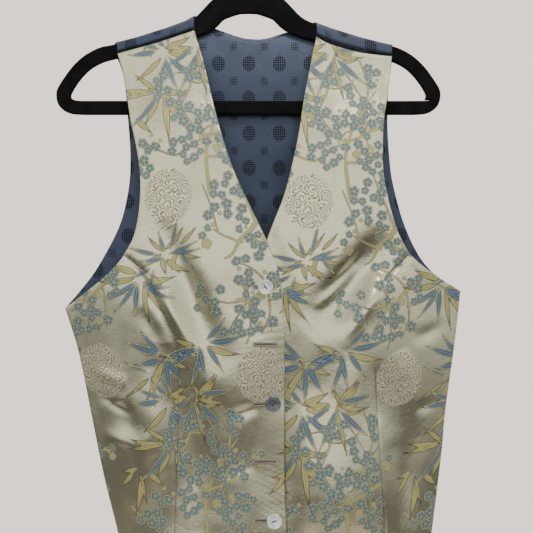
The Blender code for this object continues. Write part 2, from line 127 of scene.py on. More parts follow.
# Soft creases that only the cloth has: first the broad ones, then the small ones
CREASES = table(
    Fold,
    ((-82, -490), (-76, -610), (-40, -740), 32, 8.0), ((18, -470), (26, -580), (30, -700), 30, 6.0),
    ((112, -510), (132, -620), (148, -760), 32, -4.0),
    ((172, -530), (178, -640), (176, -760), 18, 3.0),
    ((-132, -520), (-136, -640), (-130, -760), 16, 2.5),
    ((-98, -352), (-66, -425), (-24, -520), 15, 6.0),
    ((-98, -424), (-82, -452), (-62, -500), 4, -1.6),
    ((-142, -392), (-106, -420), (-74, -500), 6, 4.2),
    ((160, -372), (124, -428), (70, -486), 24, 7.0),
    ((188, -388), (166, -408), (136, -446), 4, 2.4),
    ((150, -428), (132, -452), (108, -486), 4, -1.6),
    ((-120, -452), (-104, -474), (-92, -508), 9, 2.2),
    ((-112, -520), (-104, -560), (-100, -620), 10, -2.0),
    ((-62, -540), (-56, -600), (-60, -680), 12, 2.0),
    ((-30, -560), (-26, -610), (-34, -680), 9, -1.7),
    ((-178, -520), (-160, -534), (-134, -538), 7, -2.7),
    ((-176, -548), (-152, -566), (-126, -574), 6, 2.5),
    ((-168, -596), (-146, -606), (-120, -606), 7, -2.2),
    ((-10, -450), (6, -470), (14, -486), 6, 1.7), ((-24, -574), (-2, -566), (12, -560), 6, 1.9),
    ((-34, -640), (-8, -630), (10, -624), 7, 1.7), ((120, -404), (98, -436), (72, -454), 6, -3.1),
    ((136, -378), (112, -414), (82, -440), 6, 2.7), ((96, -470), (84, -520), (92, -590), 11, 2.4),
    ((118, -500), (112, -560), (120, -640), 10, -2.2),
    ((66, -560), (72, -620), (66, -700), 10, -2.0),
    ((170, -500), (186, -540), (192, -600), 11, -2.2),
    ((228, -470), (206, -484), (184, -490), 8, 2.0),
    ((222, -560), (204, -566), (186, -570), 7, 1.9),
    ((168, -610), (164, -660), (168, -720), 8, -1.9),
    ((110, -210), (112, -260), (104, -310), 14, -1.7),
    ((-104, -210), (-98, -260), (-96, -310), 14, -1.7),
)

# Slow unevenness of hanging satin: sizes across and heights
RUMPLES = ((74, 1.9), (33, 0.75), (15, 0.2))
RUMPLES_START = Point(-320, 60)
RUMPLES_ACROSS = 640
RUMPLES_DOWN = 960

# Darts: the line from tip to end, the cloth that each takes up, and the side that is shifted by it
WAIST_DARTS = (
    Dart(Point(-76, -493), Point(-78, -600), Point(-84, -752), 15, -1),
    Dart(Point(141, -518), Point(146, -620), Point(156, -752), 15, 1),
)
ARMHOLE_DARTS = (
    Dart(Point(-96, -423.5), Point(-118, -408), Point(-139, -394), 5, -1),
    Dart(Point(148, -425), Point(166, -408), Point(181, -393), 5, 1),
)
DARTS = WAIST_DARTS + ARMHOLE_DARTS
DART_DEPTH = 0.9
DART_WIDTH = 1.3
DART_REACH = 12
DART_PUFF = 0.4
DART_PUFF_AWAY = 5
DART_PUFF_WIDTH = 4
DART_OPENS_OVER = 120
SEAM_REACH = 6
SEAM_FAR = 9.0

ARMHOLE_RIGHT = table(
    Point,
    (-150.5, -162), (-142.3, -190), (-134.3, -236), (-124.4, -280), (-120.8, -322),
    (-124.9, -365.5), (-137.5, -392.5), (-157.7, -415.5), (-197, -445), (-212.2, -455),
)
SIDE_RIGHT = table(
    Point,
    (-212.2, -455), (-196.3, -506), (-181.2, -580), (-166.8, -651), (-151, -715), (-147, -738),
)
NECK_RIGHT = table(
    Point,
    (-61.8, -135.5), (-50, -176), (-39.3, -221), (-26.1, -268.5), (-14, -303), (0, -334),
    (21.2, -378), (34.5, -412),
)
FRONT_EDGE_RIGHT = table(
    Point,
    (34.5, -412), (37.5, -432), (39.2, -460), (40.8, -490), (41, -555), (41, -650), (43, -700),
    (42, -714), (37, -728), (8, -790),
)
SHOULDER_SEAM_RIGHT = table(Point, (-150.5, -162), (-105, -149.5), (-61.8, -135.5))
HEM_RIGHT = table(Point, (-147, -738), (-100, -751), (-45, -769), (8, -790))

ARMHOLE_LEFT = table(
    Point,
    (165.2, -165.4), (160.2, -206), (153.9, -244), (152.2, -273), (152.6, -302), (158.9, -338),
    (169, -369.5), (184.3, -395), (209.7, -414.5), (245.3, -435.4),
)
SIDE_LEFT = table(
    Point,
    (245.3, -435.4), (240.3, -483), (227.9, -573), (223.5, -624), (212.2, -715), (209, -738),
)
NECK_LEFT = table(
    Point,
    (78.2, -142.6), (72.1, -171), (64.3, -211), (57.6, -253.5), (50.9, -286.5), (41.5, -323.5),
    (30.3, -353.5), (6, -414),
)
FRONT_EDGE_LEFT = table(
    Point,
    (6, -414), (6, -432), (10, -480), (14, -555), (15, -650), (17, -708), (22, -722), (54, -790),
)
SHOULDER_SEAM_LEFT = table(Point, (165.2, -165.4), (128.2, -160.3), (94, -150.8), (78.2, -142.6))
HEM_LEFT = table(Point, (209, -738), (165, -751), (108, -769), (54, -790))

BACK_ARMHOLE_RIGHT = table(
    Point,
    (-158.5, -154.8), (-150, -172), (-144.5, -194), (-141.2, -232), (-138.8, -275), (-141.2, -315),
    (-151.2, -357.5), (-170.6, -397.5), (-186, -422), (-212.2, -455),
)
BACK_ARMHOLE_LEFT = table(
    Point,
    (169, -156.6), (166, -178), (163.2, -204), (162.5, -236), (164.8, -275), (169.3, -308),
    (180.8, -352), (197.6, -390.5), (217, -415.5), (245.3, -435.4),
)
NECKLINE_BACK = table(
    Point,
    (-60.7, -121.7), (-37.3, -130), (-10, -139.5), (7, -141.8), (22, -140.5), (45, -133.5),
    (72.6, -128.4),
)
HEM_BACK = table(Point, (-147, -738), (30, -744), (209, -738))
LINING_INSET = 0.012
LINING_TOP = 0.006
LINING_BOTTOM = 0.985

HANGER_TOP = table(
    Point,
    (8, -71), (22, -80), (44, -100.5), (60, -117), (72, -124), (95, -132.5), (130, -143.5),
    (158, -150.5), (168, -152.3), (179, -156.5), (192, -164.5), (204, -176), (214, -189.5),
    (221, -201), (222.5, -209), (220.3, -219), (213.6, -226.5), (204, -230.5), (190, HANGER_BOTTOM),
)
HANGER_WINDOW = table(
    Point,
    (0, -114.5), (10.4, -115), (20, -118), (28.5, -121.5), (36, -129), (46, -136), (60, -141.5),
    (76, -146), (110, -155.5), (152.6, -166.5), (169.7, -171.5), (184, -180), (196, -193),
    (205, -208), (203, -213.5), (195, -215.2), (0, -215.2),
)
HOOK_SHANK = table(Point, (6.5, -41.5), (1, -51), (0, -60), (0, -70.7))

BUTTONS = table(
    Button,
    (1, 19.8, -429.5, True, -48, "light"), (2, 27.8, -493, False, 10, "light"),
    (3, 28.4, -558.5, True, 35, "dark"), (4, 29.2, -622.5, False, -20, "light"),
    (5, 29.8, -686.5, True, 20, "light"),
)
BUTTONHOLES = table(
    Buttonhole,
    (1, 7.0, 31.0, -429.5), (2, 7.3, 32.1, -492.6), (3, 7.0, 32.0, -558.5), (4, 8.3, 31.5, -622.7),
    (5, 8.5, 32.0, -686.5),
)

# A button's thread from hole to hole: shares of the half way, and heights
THREAD_ARCH = ((-1, -1.2), (-0.98, -0.1), (-0.6, 1), (0, 1.25), (0.6, 1), (0.98, -0.1), (1, -1.2))

# The brocade's repeat, and where its first roundel lies on each front
TILE_ACROSS = 185.0
TILE_DOWN = 396.0
PATTERN_RIGHT = Point(-88, -328)
PATTERN_LEFT = Point(67.7, -335)

# Motifs of one repeat, in its own millimetres across and down from the first roundel
Roundel = namedtuple("Roundel", "across down")
Branch = namedtuple("Branch", "start middle end width")
Cluster = namedtuple("Cluster", "across down wide high blossoms gold")
Spray = namedtuple("Spray", "across down aim spread leaves length width gold")

ROUNDEL_WIDE = 27.5
ROUNDEL_HIGH = 31.5
ROUNDELS = table(Roundel, (0, 0), (103, 198))

BRANCHES = table(
    Branch,
    ((99, 24), (84, 52), (64, 70), 3.2), ((82, 52), (70, 50), (50, 38), 1.6),
    ((90, 44), (100, 56), (116, 52), 1.5), ((56, 42), (50, 16), (38, -12), 1.1),
    ((98, 30), (84, 4), (70, -40), 1.4), ((80, -84), (44, -70), (8, -46), 1.9),
    ((34, -68), (38, -78), (56, -84), 1.2), ((8, -46), (-14, -48), (-34, -66), 1.2),
    ((60, -62), (70, -50), (88, -56), 1.1), ((34, -178), (24, -130), (10, -96), 1.7),
    ((22, -142), (4, -146), (-12, -136), 1.0), ((20, -122), (-2, -112), (-16, -128), 1.0),
    ((24, -132), (40, -128), (54, -142), 1.0), ((66, -84), (60, -110), (78, -128), 1.3),
    ((126, 84), (104, 112), (76, 118), 2.4), ((110, 104), (118, 128), (104, 152), 1.5),
    ((92, 116), (78, 124), (68, 154), 1.2), ((76, 118), (62, 120), (44, 112), 1.2),
    ((108, 96), (96, 78), (74, 74), 1.3), ((46, 392), (36, 350), (52, 300), 2.3),
    ((52, 306), (66, 296), (72, 244), 1.4), ((54, 300), (80, 296), (104, 284), 1.4),
    ((44, 352), (62, 356), (92, 340), 1.6), ((42, 330), (26, 320), (14, 296), 1.2),
    ((70, 352), (64, 330), (70, 312), 1.0), ((-104, 96), (-86, 122), (-98, 164), 1.5),
    ((-88, 124), (-78, 130), (-70, 150), 1.0), ((60, 232), (74, 262), (66, 286), 1.1),
    ((36, 232), (50, 258), (62, 276), 1.1), ((-60, 352), (-38, 372), (-10, 376), 1.3),
)
CLUSTERS = table(
    Cluster,
    (50, -6, 10, 12, 5, 0.0), (54, 14, 12, 15, 8, 0.1), (50, 34, 8, 8, 3, 0.3),
    (78, 26, 14, 14, 8, 0.15), (42, 52, 6, 8, 3, 0.8), (73, -18, 11, 28, 13, 0.1),
    (102, 54, 18, 14, 11, 0.1), (84, 86, 12, 16, 9, 0.2), (118, 96, 13, 18, 9, 0.3),
    (108, 128, 15, 18, 10, 0.25), (48, 114, 18, 16, 14, 0.1), (73, 148, 11, 12, 6, 0.6),
    (-24, -60, 14, 12, 8, 0.0), (10, -56, 17, 10, 9, 0.15), (52, -62, 12, 9, 4, 0.9),
    (86, -62, 9, 9, 4, 0.2), (22, -90, 19, 12, 12, 0.05), (54, -94, 13, 12, 8, 0.0),
    (80, -104, 11, 22, 10, 0.1), (-11, -126, 9, 18, 8, 0.2), (6, -110, 9, 9, 4, 0.0),
    (28, -144, 15, 10, 9, 0.1), (46, -124, 9, 12, 5, 0.4), (72, 252, 8, 20, 8, 0.2),
    (66, 290, 16, 11, 9, 0.1), (42, 298, 9, 10, 5, 0.3), (94, 290, 13, 9, 6, 0.5),
    (66, 316, 5, 9, 3, 0.3), (26, 338, 18, 20, 16, 0.05), (72, 345, 17, 16, 14, 0.05),
    (12, 302, 8, 12, 5, 0.4), (-92, 124, 15, 28, 15, 0.2), (-36, 364, 20, 10, 9, 0.2),
)
SPRAYS = table(
    Spray,
    (-31, 93, 2, 210, 10, 58, 4.1, 0.4), (-3, 66, 160, 300, 12, 44, 3.2, 0.55),
    (8, 58, 60, 150, 4, 38, 2.8, 0.8), (-18, 80, -40, 160, 4, 34, 2.8, 0.6),
    (37, 164, 12, 240, 9, 60, 4.5, 0.25), (-4, 179, -5, 260, 9, 60, 5.0, 0.15),
    (-22, 196, -30, 170, 4, 42, 3.0, 0.8), (-9, 229, -12, 250, 9, 56, 4.3, 0.35),
    (29, 222, 28, 230, 8, 58, 3.9, 0.75), (-12, 273, -22, 210, 9, 60, 4.3, 0.9),
    (-47, 306, -14, 130, 5, 44, 3.8, 1.0), (34, -166, 150, 110, 5, 38, 2.8, 1.0),
)
CURLS_WARP = 0.1
CURLS_SCALE = 0.095
CURL_PITCH = 2.3
BLOSSOM_RADIUS = 5.6
BLOSSOM_ROOM = 0.97
BLOSSOM_CROWD = 0.56
BLOSSOM_GOLD = 0.25
BUD_SHARE = 0.06
BESIDE_SHARE = 0.88
MOST_TRIES = 500
MOTIF_REACH = 6.0
MOTIF_SHARES = np.linspace(0, 1, 9)
MOTIF_EDGE = 0.12
VEIN_PITCH = 1.6
WEAVE_PITCH = 0.7

# The dark cloth's repeat: a large dotted roundel and a small dotted square between
JACQUARD_ACROSS = 35.5
JACQUARD_DOWN = 40.0
JACQUARD_START = Point(-35, -171)


# Shapes

def smooth_line(points):
    """A function of 0 to 1 along a smooth curve through the points, evenly by length."""
    given = np.array(points, float)
    padded = np.vstack([given[:1], given, given[-1:]])
    a, b, c, d = (padded[k:len(padded) - 3 + k, None, :] for k in range(4))
    t = (np.arange(SAMPLES) / SAMPLES)[None, :, None]
    fine = 0.5 * (
        2 * b + (c - a) * t + (2 * a - 5 * b + 4 * c - d) * t ** 2
        + (3 * b - a - 3 * c + d) * t ** 3
    )
    fine = np.vstack([fine.reshape(-1, given.shape[1]), given[-1:]])
    lengths = np.r_[0, np.cumsum(np.linalg.norm(np.diff(fine, axis=0), axis=1))]

    def at(share):
        wanted = np.clip(share, 0, 1) * lengths[-1]
        return np.stack([np.interp(wanted, lengths, column) for column in fine.T], -1)

    return at


def joined(breaks, *lines):
    """One function of 0 to 1 that runs along the lines in turn, with a corner at each break."""
    bounds = (0.0, *breaks, 1.0)

    def at(share):
        share = np.asarray(share, float)
        which = np.searchsorted(breaks, share)
        found = np.empty((*share.shape, 2))
        for k, line in enumerate(lines):
            here = which == k
            found[here] = line((share[here] - bounds[k]) / (bounds[k + 1] - bounds[k]))
        return found

    return at


def patch(near, far, top, bottom):
    """A function of shares across and down that gives the grid filling four edges."""
    def at(across, down):
        u, v = across[None, :, None], down[:, None, None]
        n, f = near(down)[:, None, :], far(down)[:, None, :]
        t, b = top(across)[None, :, :], bottom(across)[None, :, :]
        start, end = np.zeros(1), np.ones(1)
        n0, f0, n1, f1 = near(start), far(start), near(end), far(end)
        return (
            (1 - u) * n + u * f + (1 - v) * t + v * b
            - (1 - u) * (1 - v) * n0 - u * (1 - v) * f0 - (1 - u) * v * n1 - u * v * f1
        )

    return at


def smooth_step(value):
    value = np.clip(value, 0, 1)
    return value * value * (3 - 2 * value)


def section(z, column):
    """A column of the table of cross-sections by height, eased between its rows."""
    heights = np.array([row.z for row in BODY], float)
    values = np.array([getattr(row, column) for row in BODY], float)
    k = np.clip(np.searchsorted(-heights, -z), 1, len(BODY) - 1)
    share = np.clip((heights[k - 1] - z) / (heights[k - 1] - heights[k]), 0, 1)
    start, end = values[k - 1], values[k]
    slope_in = (end - values[np.maximum(k - 2, 0)]) / 2
    slope_out = (values[np.minimum(k + 1, len(BODY) - 1)] - start) / 2
    return (
        start * (2 * share ** 3 - 3 * share ** 2 + 1) + slope_in * (share ** 3 - 2 * share ** 2 + share)
        + end * (3 * share ** 2 - 2 * share ** 3) + slope_out * (share ** 3 - share ** 2)
    )


def crown(x, z):
    """1 along the body's middle, 0 at its sides."""
    left, right = section(z, "left"), section(z, "right")
    from_middle = np.abs(x - (left + right) / 2) / ((right - left) / 2)
    return 1 - np.minimum(from_middle, 1.0) ** CROWN_POWER


def bend(start, middle, end, shares):
    """Points of a curve from start to end that is drawn towards its middle point."""
    t = shares[:, None]
    a, b, c = (np.array(p, float) for p in (start, middle, end))
    return (1 - t) ** 2 * a + 2 * t * (1 - t) * b + t ** 2 * c


def fold_depths(x, z, table):
    """The depth that a table of folds adds."""
    shares = np.linspace(0, 1, CREASE_SAMPLES + 1)
    strength = np.sin(np.pi * shares)
    total = np.zeros_like(x)
    for fold in table:
        line = bend(fold.start, fold.middle, fold.end, shares)
        reach = 3 * fold.width
        low, high = line.min(0) - reach, line.max(0) + reach
        near = (x > low[0]) & (x < high[0]) & (z > low[1]) & (z < high[1])
        away = (x[near, None] - line[:, 0]) ** 2 + (z[near, None] - line[:, 1]) ** 2
        closest = away.argmin(1)
        nearest = away[np.arange(len(closest)), closest]
        total[near] += fold.depth * strength[closest] * np.exp(-nearest / fold.width ** 2)
    return total


def rumple_depths(x, z):
    """Smooth chance unevenness of a few sizes."""
    chance = np.random.default_rng(5)
    total = np.zeros_like(x)
    for size, height in RUMPLES:
        rows, columns = int(RUMPLES_DOWN / size) + 2, int(RUMPLES_ACROSS / size) + 2
        lattice = chance.uniform(-height, height, (rows, columns))
        down, across = (RUMPLES_START.z - z) / size, (x - RUMPLES_START.x) / size
        row, column = np.floor(down).astype(int), np.floor(across).astype(int)
        down, across = smooth_step(down - row), smooth_step(across - column)
        upper = lattice[row, column] * (1 - across) + lattice[row, column + 1] * across
        lower = lattice[row + 1, column] * (1 - across) + lattice[row + 1, column + 1] * across
        total += upper * (1 - down) + lower * down
    return total


def dart_line(dart):
    return bend(dart.tip, dart.middle, dart.end, np.linspace(0, 1, DART_SAMPLES))


def from_dart(x, z, dart, reach):
    """Which points are near a dart's line, how far away they are, and the share along it."""
    line = dart_line(dart)
    near = near_line(np.stack([x, z], 1), line, reach)
    away = (x[near, None] - line[:, 0]) ** 2 + (z[near, None] - line[:, 1]) ** 2
    closest = away.argmin(1)
    return near, np.sqrt(away[np.arange(len(closest)), closest]), closest / len(line)


def dart_depths(x, z):
    """The pinched line of each dart, which fades in from its tip."""
    total = np.zeros_like(x)
    for dart in DARTS:
        near, away, share = from_dart(x, z, dart, DART_REACH)
        fade = smooth_step(share * 6) * (1.0 if dart in WAIST_DARTS else 0.5)
        total[near] += fade * DART_DEPTH * np.exp(-(away / DART_WIDTH) ** 2)
        total[near] -= fade * DART_PUFF * np.exp(-((away - DART_PUFF_AWAY) / DART_PUFF_WIDTH) ** 2)
    return total


def seam_field(x, z):
    """Signed distance from the nearest dart's sewn line, and 1 where it is close. The brocade paints a
    thin shade line there, along the dart's crease.
    """
    points = np.stack([x, z], 1)
    found = np.column_stack([np.full(len(x), SEAM_FAR), np.zeros(len(x))])
    for dart in DARTS:
        line = dart_line(dart)
        near = near_line(points, line, SEAM_REACH)
        along, away = beside(points[near], line)
        close = near[(along > 0) & (np.abs(away) < 5)]
        found[near, 0] = away
        found[close, 1] = 1.0
    return found


def near_line(points, line, reach):
    low, high = line.min(0) - reach, line.max(0) + reach
    return np.flatnonzero(((points > low) & (points < high)).all(1))


def front_depth(x, z):
    """Y of the fronts' middle surface."""
    share = crown(x, z)
    y = -section(z, "front_edge") - section(z, "front_crown") * share
    for mound in BUST + SWELLS:
        spread = ((x - mound.x) / mound.across) ** 2 + ((z - mound.z) / mound.down) ** 2
        y -= mound.height * share * np.exp(-spread)
    soft = fold_depths(x, z, FOLDS) + fold_depths(x, z, CREASES) + rumple_depths(x, z)
    return y + (soft + dart_depths(x, z)) * np.minimum(2 * share, 1.0)


def back_depth(x, z):
    """Y of the back's middle surface."""
    return section(z, "back_edge") + section(z, "back_crown") * crown(x, z)


OVER_EDGE = np.array([*NECK_RIGHT[:-1], *FRONT_EDGE_RIGHT], float)
UNDERLAP = FRONT_WALL + LAYER_GAP
UNDERLAP_EASE = 24.0


def under_depth(x, z):
    """Y of the left front's middle surface, which passes behind the right front."""
    over_x = np.interp(-z, -OVER_EDGE[:, 1], OVER_EDGE[:, 0])
    return front_depth(x, z) + UNDERLAP * smooth_step((over_x + UNDERLAP_EASE - x) / UNDERLAP_EASE)


def fold_centre(x):
    """Height of the centre that the cloth turns about, over the hanger's arm at this place."""
    top = np.array(HANGER_TOP, float)
    return np.interp(np.abs(x), top[:, 0], top[:, 1]) - SHOULDER_DROP


# Meshes

def spaced(count):
    """Shares from 0 to 1 that are closer together at both ends, where the cloth rolls over."""
    inner = np.linspace(0, 1, count - 3)
    step = inner[1]
    ends = np.r_[0, ROLL_SHARES] * step
    return np.r_[ends, inner[1:-1], 1 - ends[::-1]]


def grid_faces(rows, columns, flipped):
    first = (np.arange(rows - 1)[:, None] * columns + np.arange(columns - 1)[None, :]).ravel()
    squares = np.stack([first, first + 1, first + columns + 1, first + columns], 1)
    return squares[:, ::-1] if flipped else squares


def corner_normals(points, faces):
    a, b, c, d = (points[faces[:, k]] for k in range(4))
    across = np.cross(c - a, d - b)
    normals = np.zeros_like(points)
    for k in range(4):
        np.add.at(normals, faces[:, k], across)
    return normals / np.linalg.norm(normals, axis=1, keepdims=True)


def rim_of(faces):
    """Which points lie on the open edge of a surface."""
    edges = np.sort(np.vstack([faces[:, [k, (k + 1) % 4]] for k in range(4)]), axis=1)
    different, counts = np.unique(edges, axis=0, return_counts=True)
    return np.unique(different[counts == 1])


def distance_to(points, some):
    tree = KDTree(len(some))
    for number, point in enumerate(some):
        tree.insert(point, number)
    tree.balance()
    return np.array([tree.find(point)[2] for point in points.tolist()])


def shell(name, points, faces, thickness, fields, finish, swell=0.0):
    """Cloth of one thickness over an open surface, its edges rolled over. Faces look outwards.

    Fields are named values for each point, which the cloth's material reads.
    """
    rim = rim_of(faces)
    inside = np.ones(len(points), bool)
    inside[rim] = False
    away = distance_to(points, points[rim].tolist())
    normals = corner_normals(points, faces)
    rolled = thickness / 2 * np.sqrt(1 - (1 - np.minimum(away / EDGE_ROLL, 1)) ** 2)
    raised = swell * smooth_step(away / 2) * smooth_step((9 - away) / 3)
    outer = points + normals * (rolled + raised)[:, None]
    inner = (points - normals * rolled[:, None])[inside]
    number = np.arange(len(points))
    number[inside] = len(points) + np.arange(inside.sum())
    every = np.vstack([outer, inner])
    mesh = bpy.data.meshes.new(name)
    mesh.from_pydata((every * MM).tolist(), [], [*faces.tolist(), *number[faces[:, ::-1]].tolist()])
    mesh.shade_smooth()
    mesh.materials.append(finish)
    for field, values in fields.items():
        both = np.concatenate([values, values[inside]])
        if both.ndim == 2:
            both = np.pad(both, ((0, 0), (0, 3 - both.shape[1])))
        kind = "FLOAT" if both.ndim == 1 else "FLOAT_VECTOR"
        data = mesh.attributes.new(field, kind, "POINT").data
        data.foreach_set("value" if both.ndim == 1 else "vector", both.astype(np.float32).ravel())
    return add(name, mesh)


def add(name, data):
    """A new object of that name in the scene."""
    made = bpy.data.objects.new(name, data)
    bpy.context.scene.collection.objects.link(made)
    return made


def settle(piece, node):
    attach(piece, "root")
    if node:
        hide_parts(node)


# The brocade's drawing

def repeats(low, high):
    """Offsets of every repeat that reaches a panel, given its corners in pattern millimetres."""
    for across in range(math.floor(low[0] / TILE_ACROSS) - 1, math.ceil(high[0] / TILE_ACROSS) + 1):
        for down in range(math.floor(low[1] / TILE_DOWN) - 1, math.ceil(high[1] / TILE_DOWN) + 1):
            yield np.array([across * TILE_ACROSS, down * TILE_DOWN])


def clear_of_roundels(place, room):
    for across in (-TILE_ACROSS, 0, TILE_ACROSS):
        for down in (-TILE_DOWN, 0, TILE_DOWN):
            for roundel in ROUNDELS:
                dx = (place[0] - roundel.across - across) / (ROUNDEL_WIDE + room)
                dz = (place[1] - roundel.down - down) / (ROUNDEL_HIGH + room)
                if dx * dx + dz * dz < 1:
                    return False
    return True


def is_free(place, radius, found):
    """Whether a blossom has room beside the others, in its repeat and in the next ones."""
    if not clear_of_roundels(place, radius):
        return False
    tile = np.array([TILE_ACROSS, TILE_DOWN])
    for other in found:
        gap = (place - other[0] + tile / 2) % tile - tile / 2
        if np.hypot(*gap) < (radius + other[1]) * BLOSSOM_ROOM:
            return False
    return True


def blossoms_of_tile():
    """Places, radius, turn and tone of the plum blossoms of one repeat, each beside another."""
    chance = np.random.default_rng(7)
    found = []
    for cluster in CLUSTERS:
        centre = np.array([cluster.across, cluster.down], float)
        own = []
        tries = 0
        while len(own) < cluster.blossoms * BLOSSOM_CROWD and tries < MOST_TRIES:
            tries += 1
            bud = chance.uniform() < BUD_SHARE
            radius = BLOSSOM_RADIUS * (chance.uniform(0.36, 0.48) if bud else chance.uniform(0.74, 1.08))
            angle = chance.uniform(0, 2 * math.pi)
            way = np.array([math.cos(angle), math.sin(angle)])
            if own and chance.uniform() < BESIDE_SHARE:
                beside_it = own[chance.integers(len(own))]
                place = beside_it[0] + way * (radius + beside_it[1]) * (BLOSSOM_ROOM + 0.03)
            else:
                place = centre + way * (cluster.wide, cluster.high) * math.sqrt(chance.uniform())
            outside = ((place - centre) / (cluster.wide, cluster.high) / 1.1) ** 2
            if outside.sum() < 1 and is_free(place, radius, found):
                tone = 1.0 if bud or chance.uniform() < cluster.gold * BLOSSOM_GOLD else 0.0
                found.append((place, radius, chance.uniform(0, 2 * math.pi), tone))
                own.append(found[-1])
    return found


def leaves_of_tile():
    """Start, middle, end, half width and tone of the bamboo leaves of one repeat."""
    chance = np.random.default_rng(11)
    found = []
    for spray in SPRAYS:
        for number in range(spray.leaves):
            share = number / (spray.leaves - 1) - 0.5
            angle = math.radians(spray.aim + share * spray.spread + chance.uniform(-8, 8))
            length = spray.length * (1 - 0.35 * abs(2 * share)) * chance.uniform(0.62, 1.05)
            way = np.array([math.sin(angle), math.cos(angle)])
            side = np.array([way[1], -way[0]])
            start = np.array([spray.across, spray.down]) + way * chance.uniform(2, 9)
            start = start + side * chance.uniform(-5, 5)
            end = start + way * length
            droop = -math.sin(angle) * 0.1 + chance.uniform(-0.06, 0.06)
            middle = (start + end) / 2 + side * length * droop
            half = spray.width / 2 * chance.uniform(0.9, 1.3)
            tone = 1.0 if chance.uniform() < spray.gold else 0.0
            found.append((start, middle, end, half, tone))
    return found


BLOSSOMS = blossoms_of_tile()
LEAVES = leaves_of_tile()


def beside(points, line):
    """Share along a line of its nearest place to each point, and signed distance from it."""
    start, step = line[:-1], np.diff(line, axis=0)
    gap = points[:, None, :] - start[None]
    share = np.clip((gap * step).sum(-1) / (step ** 2).sum(-1), 0, 1)
    rest = gap - share[..., None] * step
    away = np.linalg.norm(rest, axis=-1)
    nearest = away.argmin(1)
    row = np.arange(len(points))
    along = (nearest + share[row, nearest]) / len(step)
    turn = step[nearest, 0] * gap[row, nearest, 1] - step[nearest, 1] * gap[row, nearest, 0]
    return along, np.where(turn < 0, -1.0, 1.0) * away[row, nearest]


def blossom_fields(points):
    """Each point's place in its nearest blossom, in blossom radii, and its distance and tone."""
    low, high = points.min(0), points.max(0)
    whole = [
        (place + offset, radius, turn, tone)
        for offset in repeats(low, high) for place, radius, turn, tone in BLOSSOMS
    ]
    inside = [b for b in whole if ((b[0] > low - 8) & (b[0] < high + 8)).all()]
    tree = KDTree(len(inside))
    for number, blossom in enumerate(inside):
        tree.insert((*blossom[0], 0), number)
    tree.balance()
    nearest = np.array([tree.find((*point, 0))[1] for point in points.tolist()])
    centre = np.array([b[0] for b in inside])[nearest]
    radius, turn, tone = np.array([b[1:] for b in inside])[nearest].T
    gap = (points - centre) / radius[:, None]
    across = gap[:, 0] * np.cos(turn) + gap[:, 1] * np.sin(turn)
    down = gap[:, 1] * np.cos(turn) - gap[:, 0] * np.sin(turn)
    return np.stack([across, down, tone], 1), np.linalg.norm(gap, axis=1)


def near_motifs(points, motifs):
    """For each repeat of each motif's line: its size, the points near it, and their places by it."""
    for offset in repeats(points.min(0), points.max(0)):
        for line, size in motifs:
            near = near_line(points, line + offset, MOTIF_REACH)
            if len(near):
                along, side = beside(points[near], line + offset)
                yield size, near, along, side


def leaf_fields(points, gold):
    """Signed distance to the nearest leaf's outline of one tone, and place across that leaf."""
    outline = np.full(len(points), MOTIF_REACH)
    across = np.zeros(len(points))
    leaves = [(bend(*leaf[:3], MOTIF_SHARES), leaf[3]) for leaf in LEAVES if leaf[4] == gold]
    for half, near, along, side in near_motifs(points, leaves):
        distance = np.abs(side) - half * 1.25 * np.sin(np.pi * along ** 0.7) ** 1.35
        better = distance < outline[near]
        outline[near[better]] = distance[better]
        across[near[better]] = side[better]
    return outline, across


def branch_field(points):
    """Signed distance to the nearest branch's outline."""
    outline = np.full(len(points), MOTIF_REACH)
    branches = []
    for number, branch in enumerate(BRANCHES):
        kink = np.sin(MOTIF_SHARES * 9 + number) * branch.width * 0.45
        kink[[0, -1]] = 0
        line = bend(branch.start, branch.middle, branch.end, MOTIF_SHARES) + kink[:, None]
        branches.append((line, branch.width))
    for width, near, along, side in near_motifs(points, branches):
        distance = np.abs(side) - width * 0.72 * (1.15 - 0.75 * along)
        outline[near] = np.minimum(outline[near], distance)
    return outline


def roundel_fields(points):
    """Each point's place in the nearest roundel, and its distance in roundel radii."""
    best = np.full(len(points), 9.0)
    local = np.full((len(points), 3), 90.0)
    for offset in repeats(points.min(0), points.max(0)):
        for number, roundel in enumerate(ROUNDELS):
            gap = points - offset - np.array([roundel.across, roundel.down])
            size = np.hypot(gap[:, 0] / ROUNDEL_WIDE, gap[:, 1] / ROUNDEL_HIGH)
            nearer = size < best
            best[nearer] = size[nearer]
            local[nearer] = np.column_stack([gap, np.full(len(gap), 40.0 * number)])[nearer]
    return local, best


def cloth_places(x, z, start):
    """Place on the flat brocade. Past a dart it jumps by the cloth that the dart takes up."""
    across = x - start.x
    down = start.z - z
    for dart in WAIST_DARTS:
        line = dart_line(dart)[::-1]
        at_height = np.interp(z, line[:, 1], line[:, 0])
        grown = smooth_step((dart.tip.z - z) / DART_OPENS_OVER)
        beyond = (x - at_height) * dart.side > 0
        across = across + dart.side * dart.take * grown * beyond
    return np.stack([across, down], 1)


def brocade_fields(x, z, start):
    places = cloth_places(x, z, start)
    blossom, blossom_reach = blossom_fields(places)
    blue_outline, blue_leaf = leaf_fields(places, 0.0)
    gold_outline, gold_leaf = leaf_fields(places, 1.0)
    roundel, roundel_reach = roundel_fields(places)
    return {
        "cloth": places,
        "blossom": blossom,
        "blossom_reach": blossom_reach,
        "blue_leaf": blue_leaf,
        "blue_outline": blue_outline,
        "gold_leaf": gold_leaf,
        "gold_outline": gold_outline,
        "branch_outline": branch_field(places),
        "seam": seam_field(x, z),
        "roundel": roundel,
        "roundel_reach": roundel_reach,
    }


# Materials

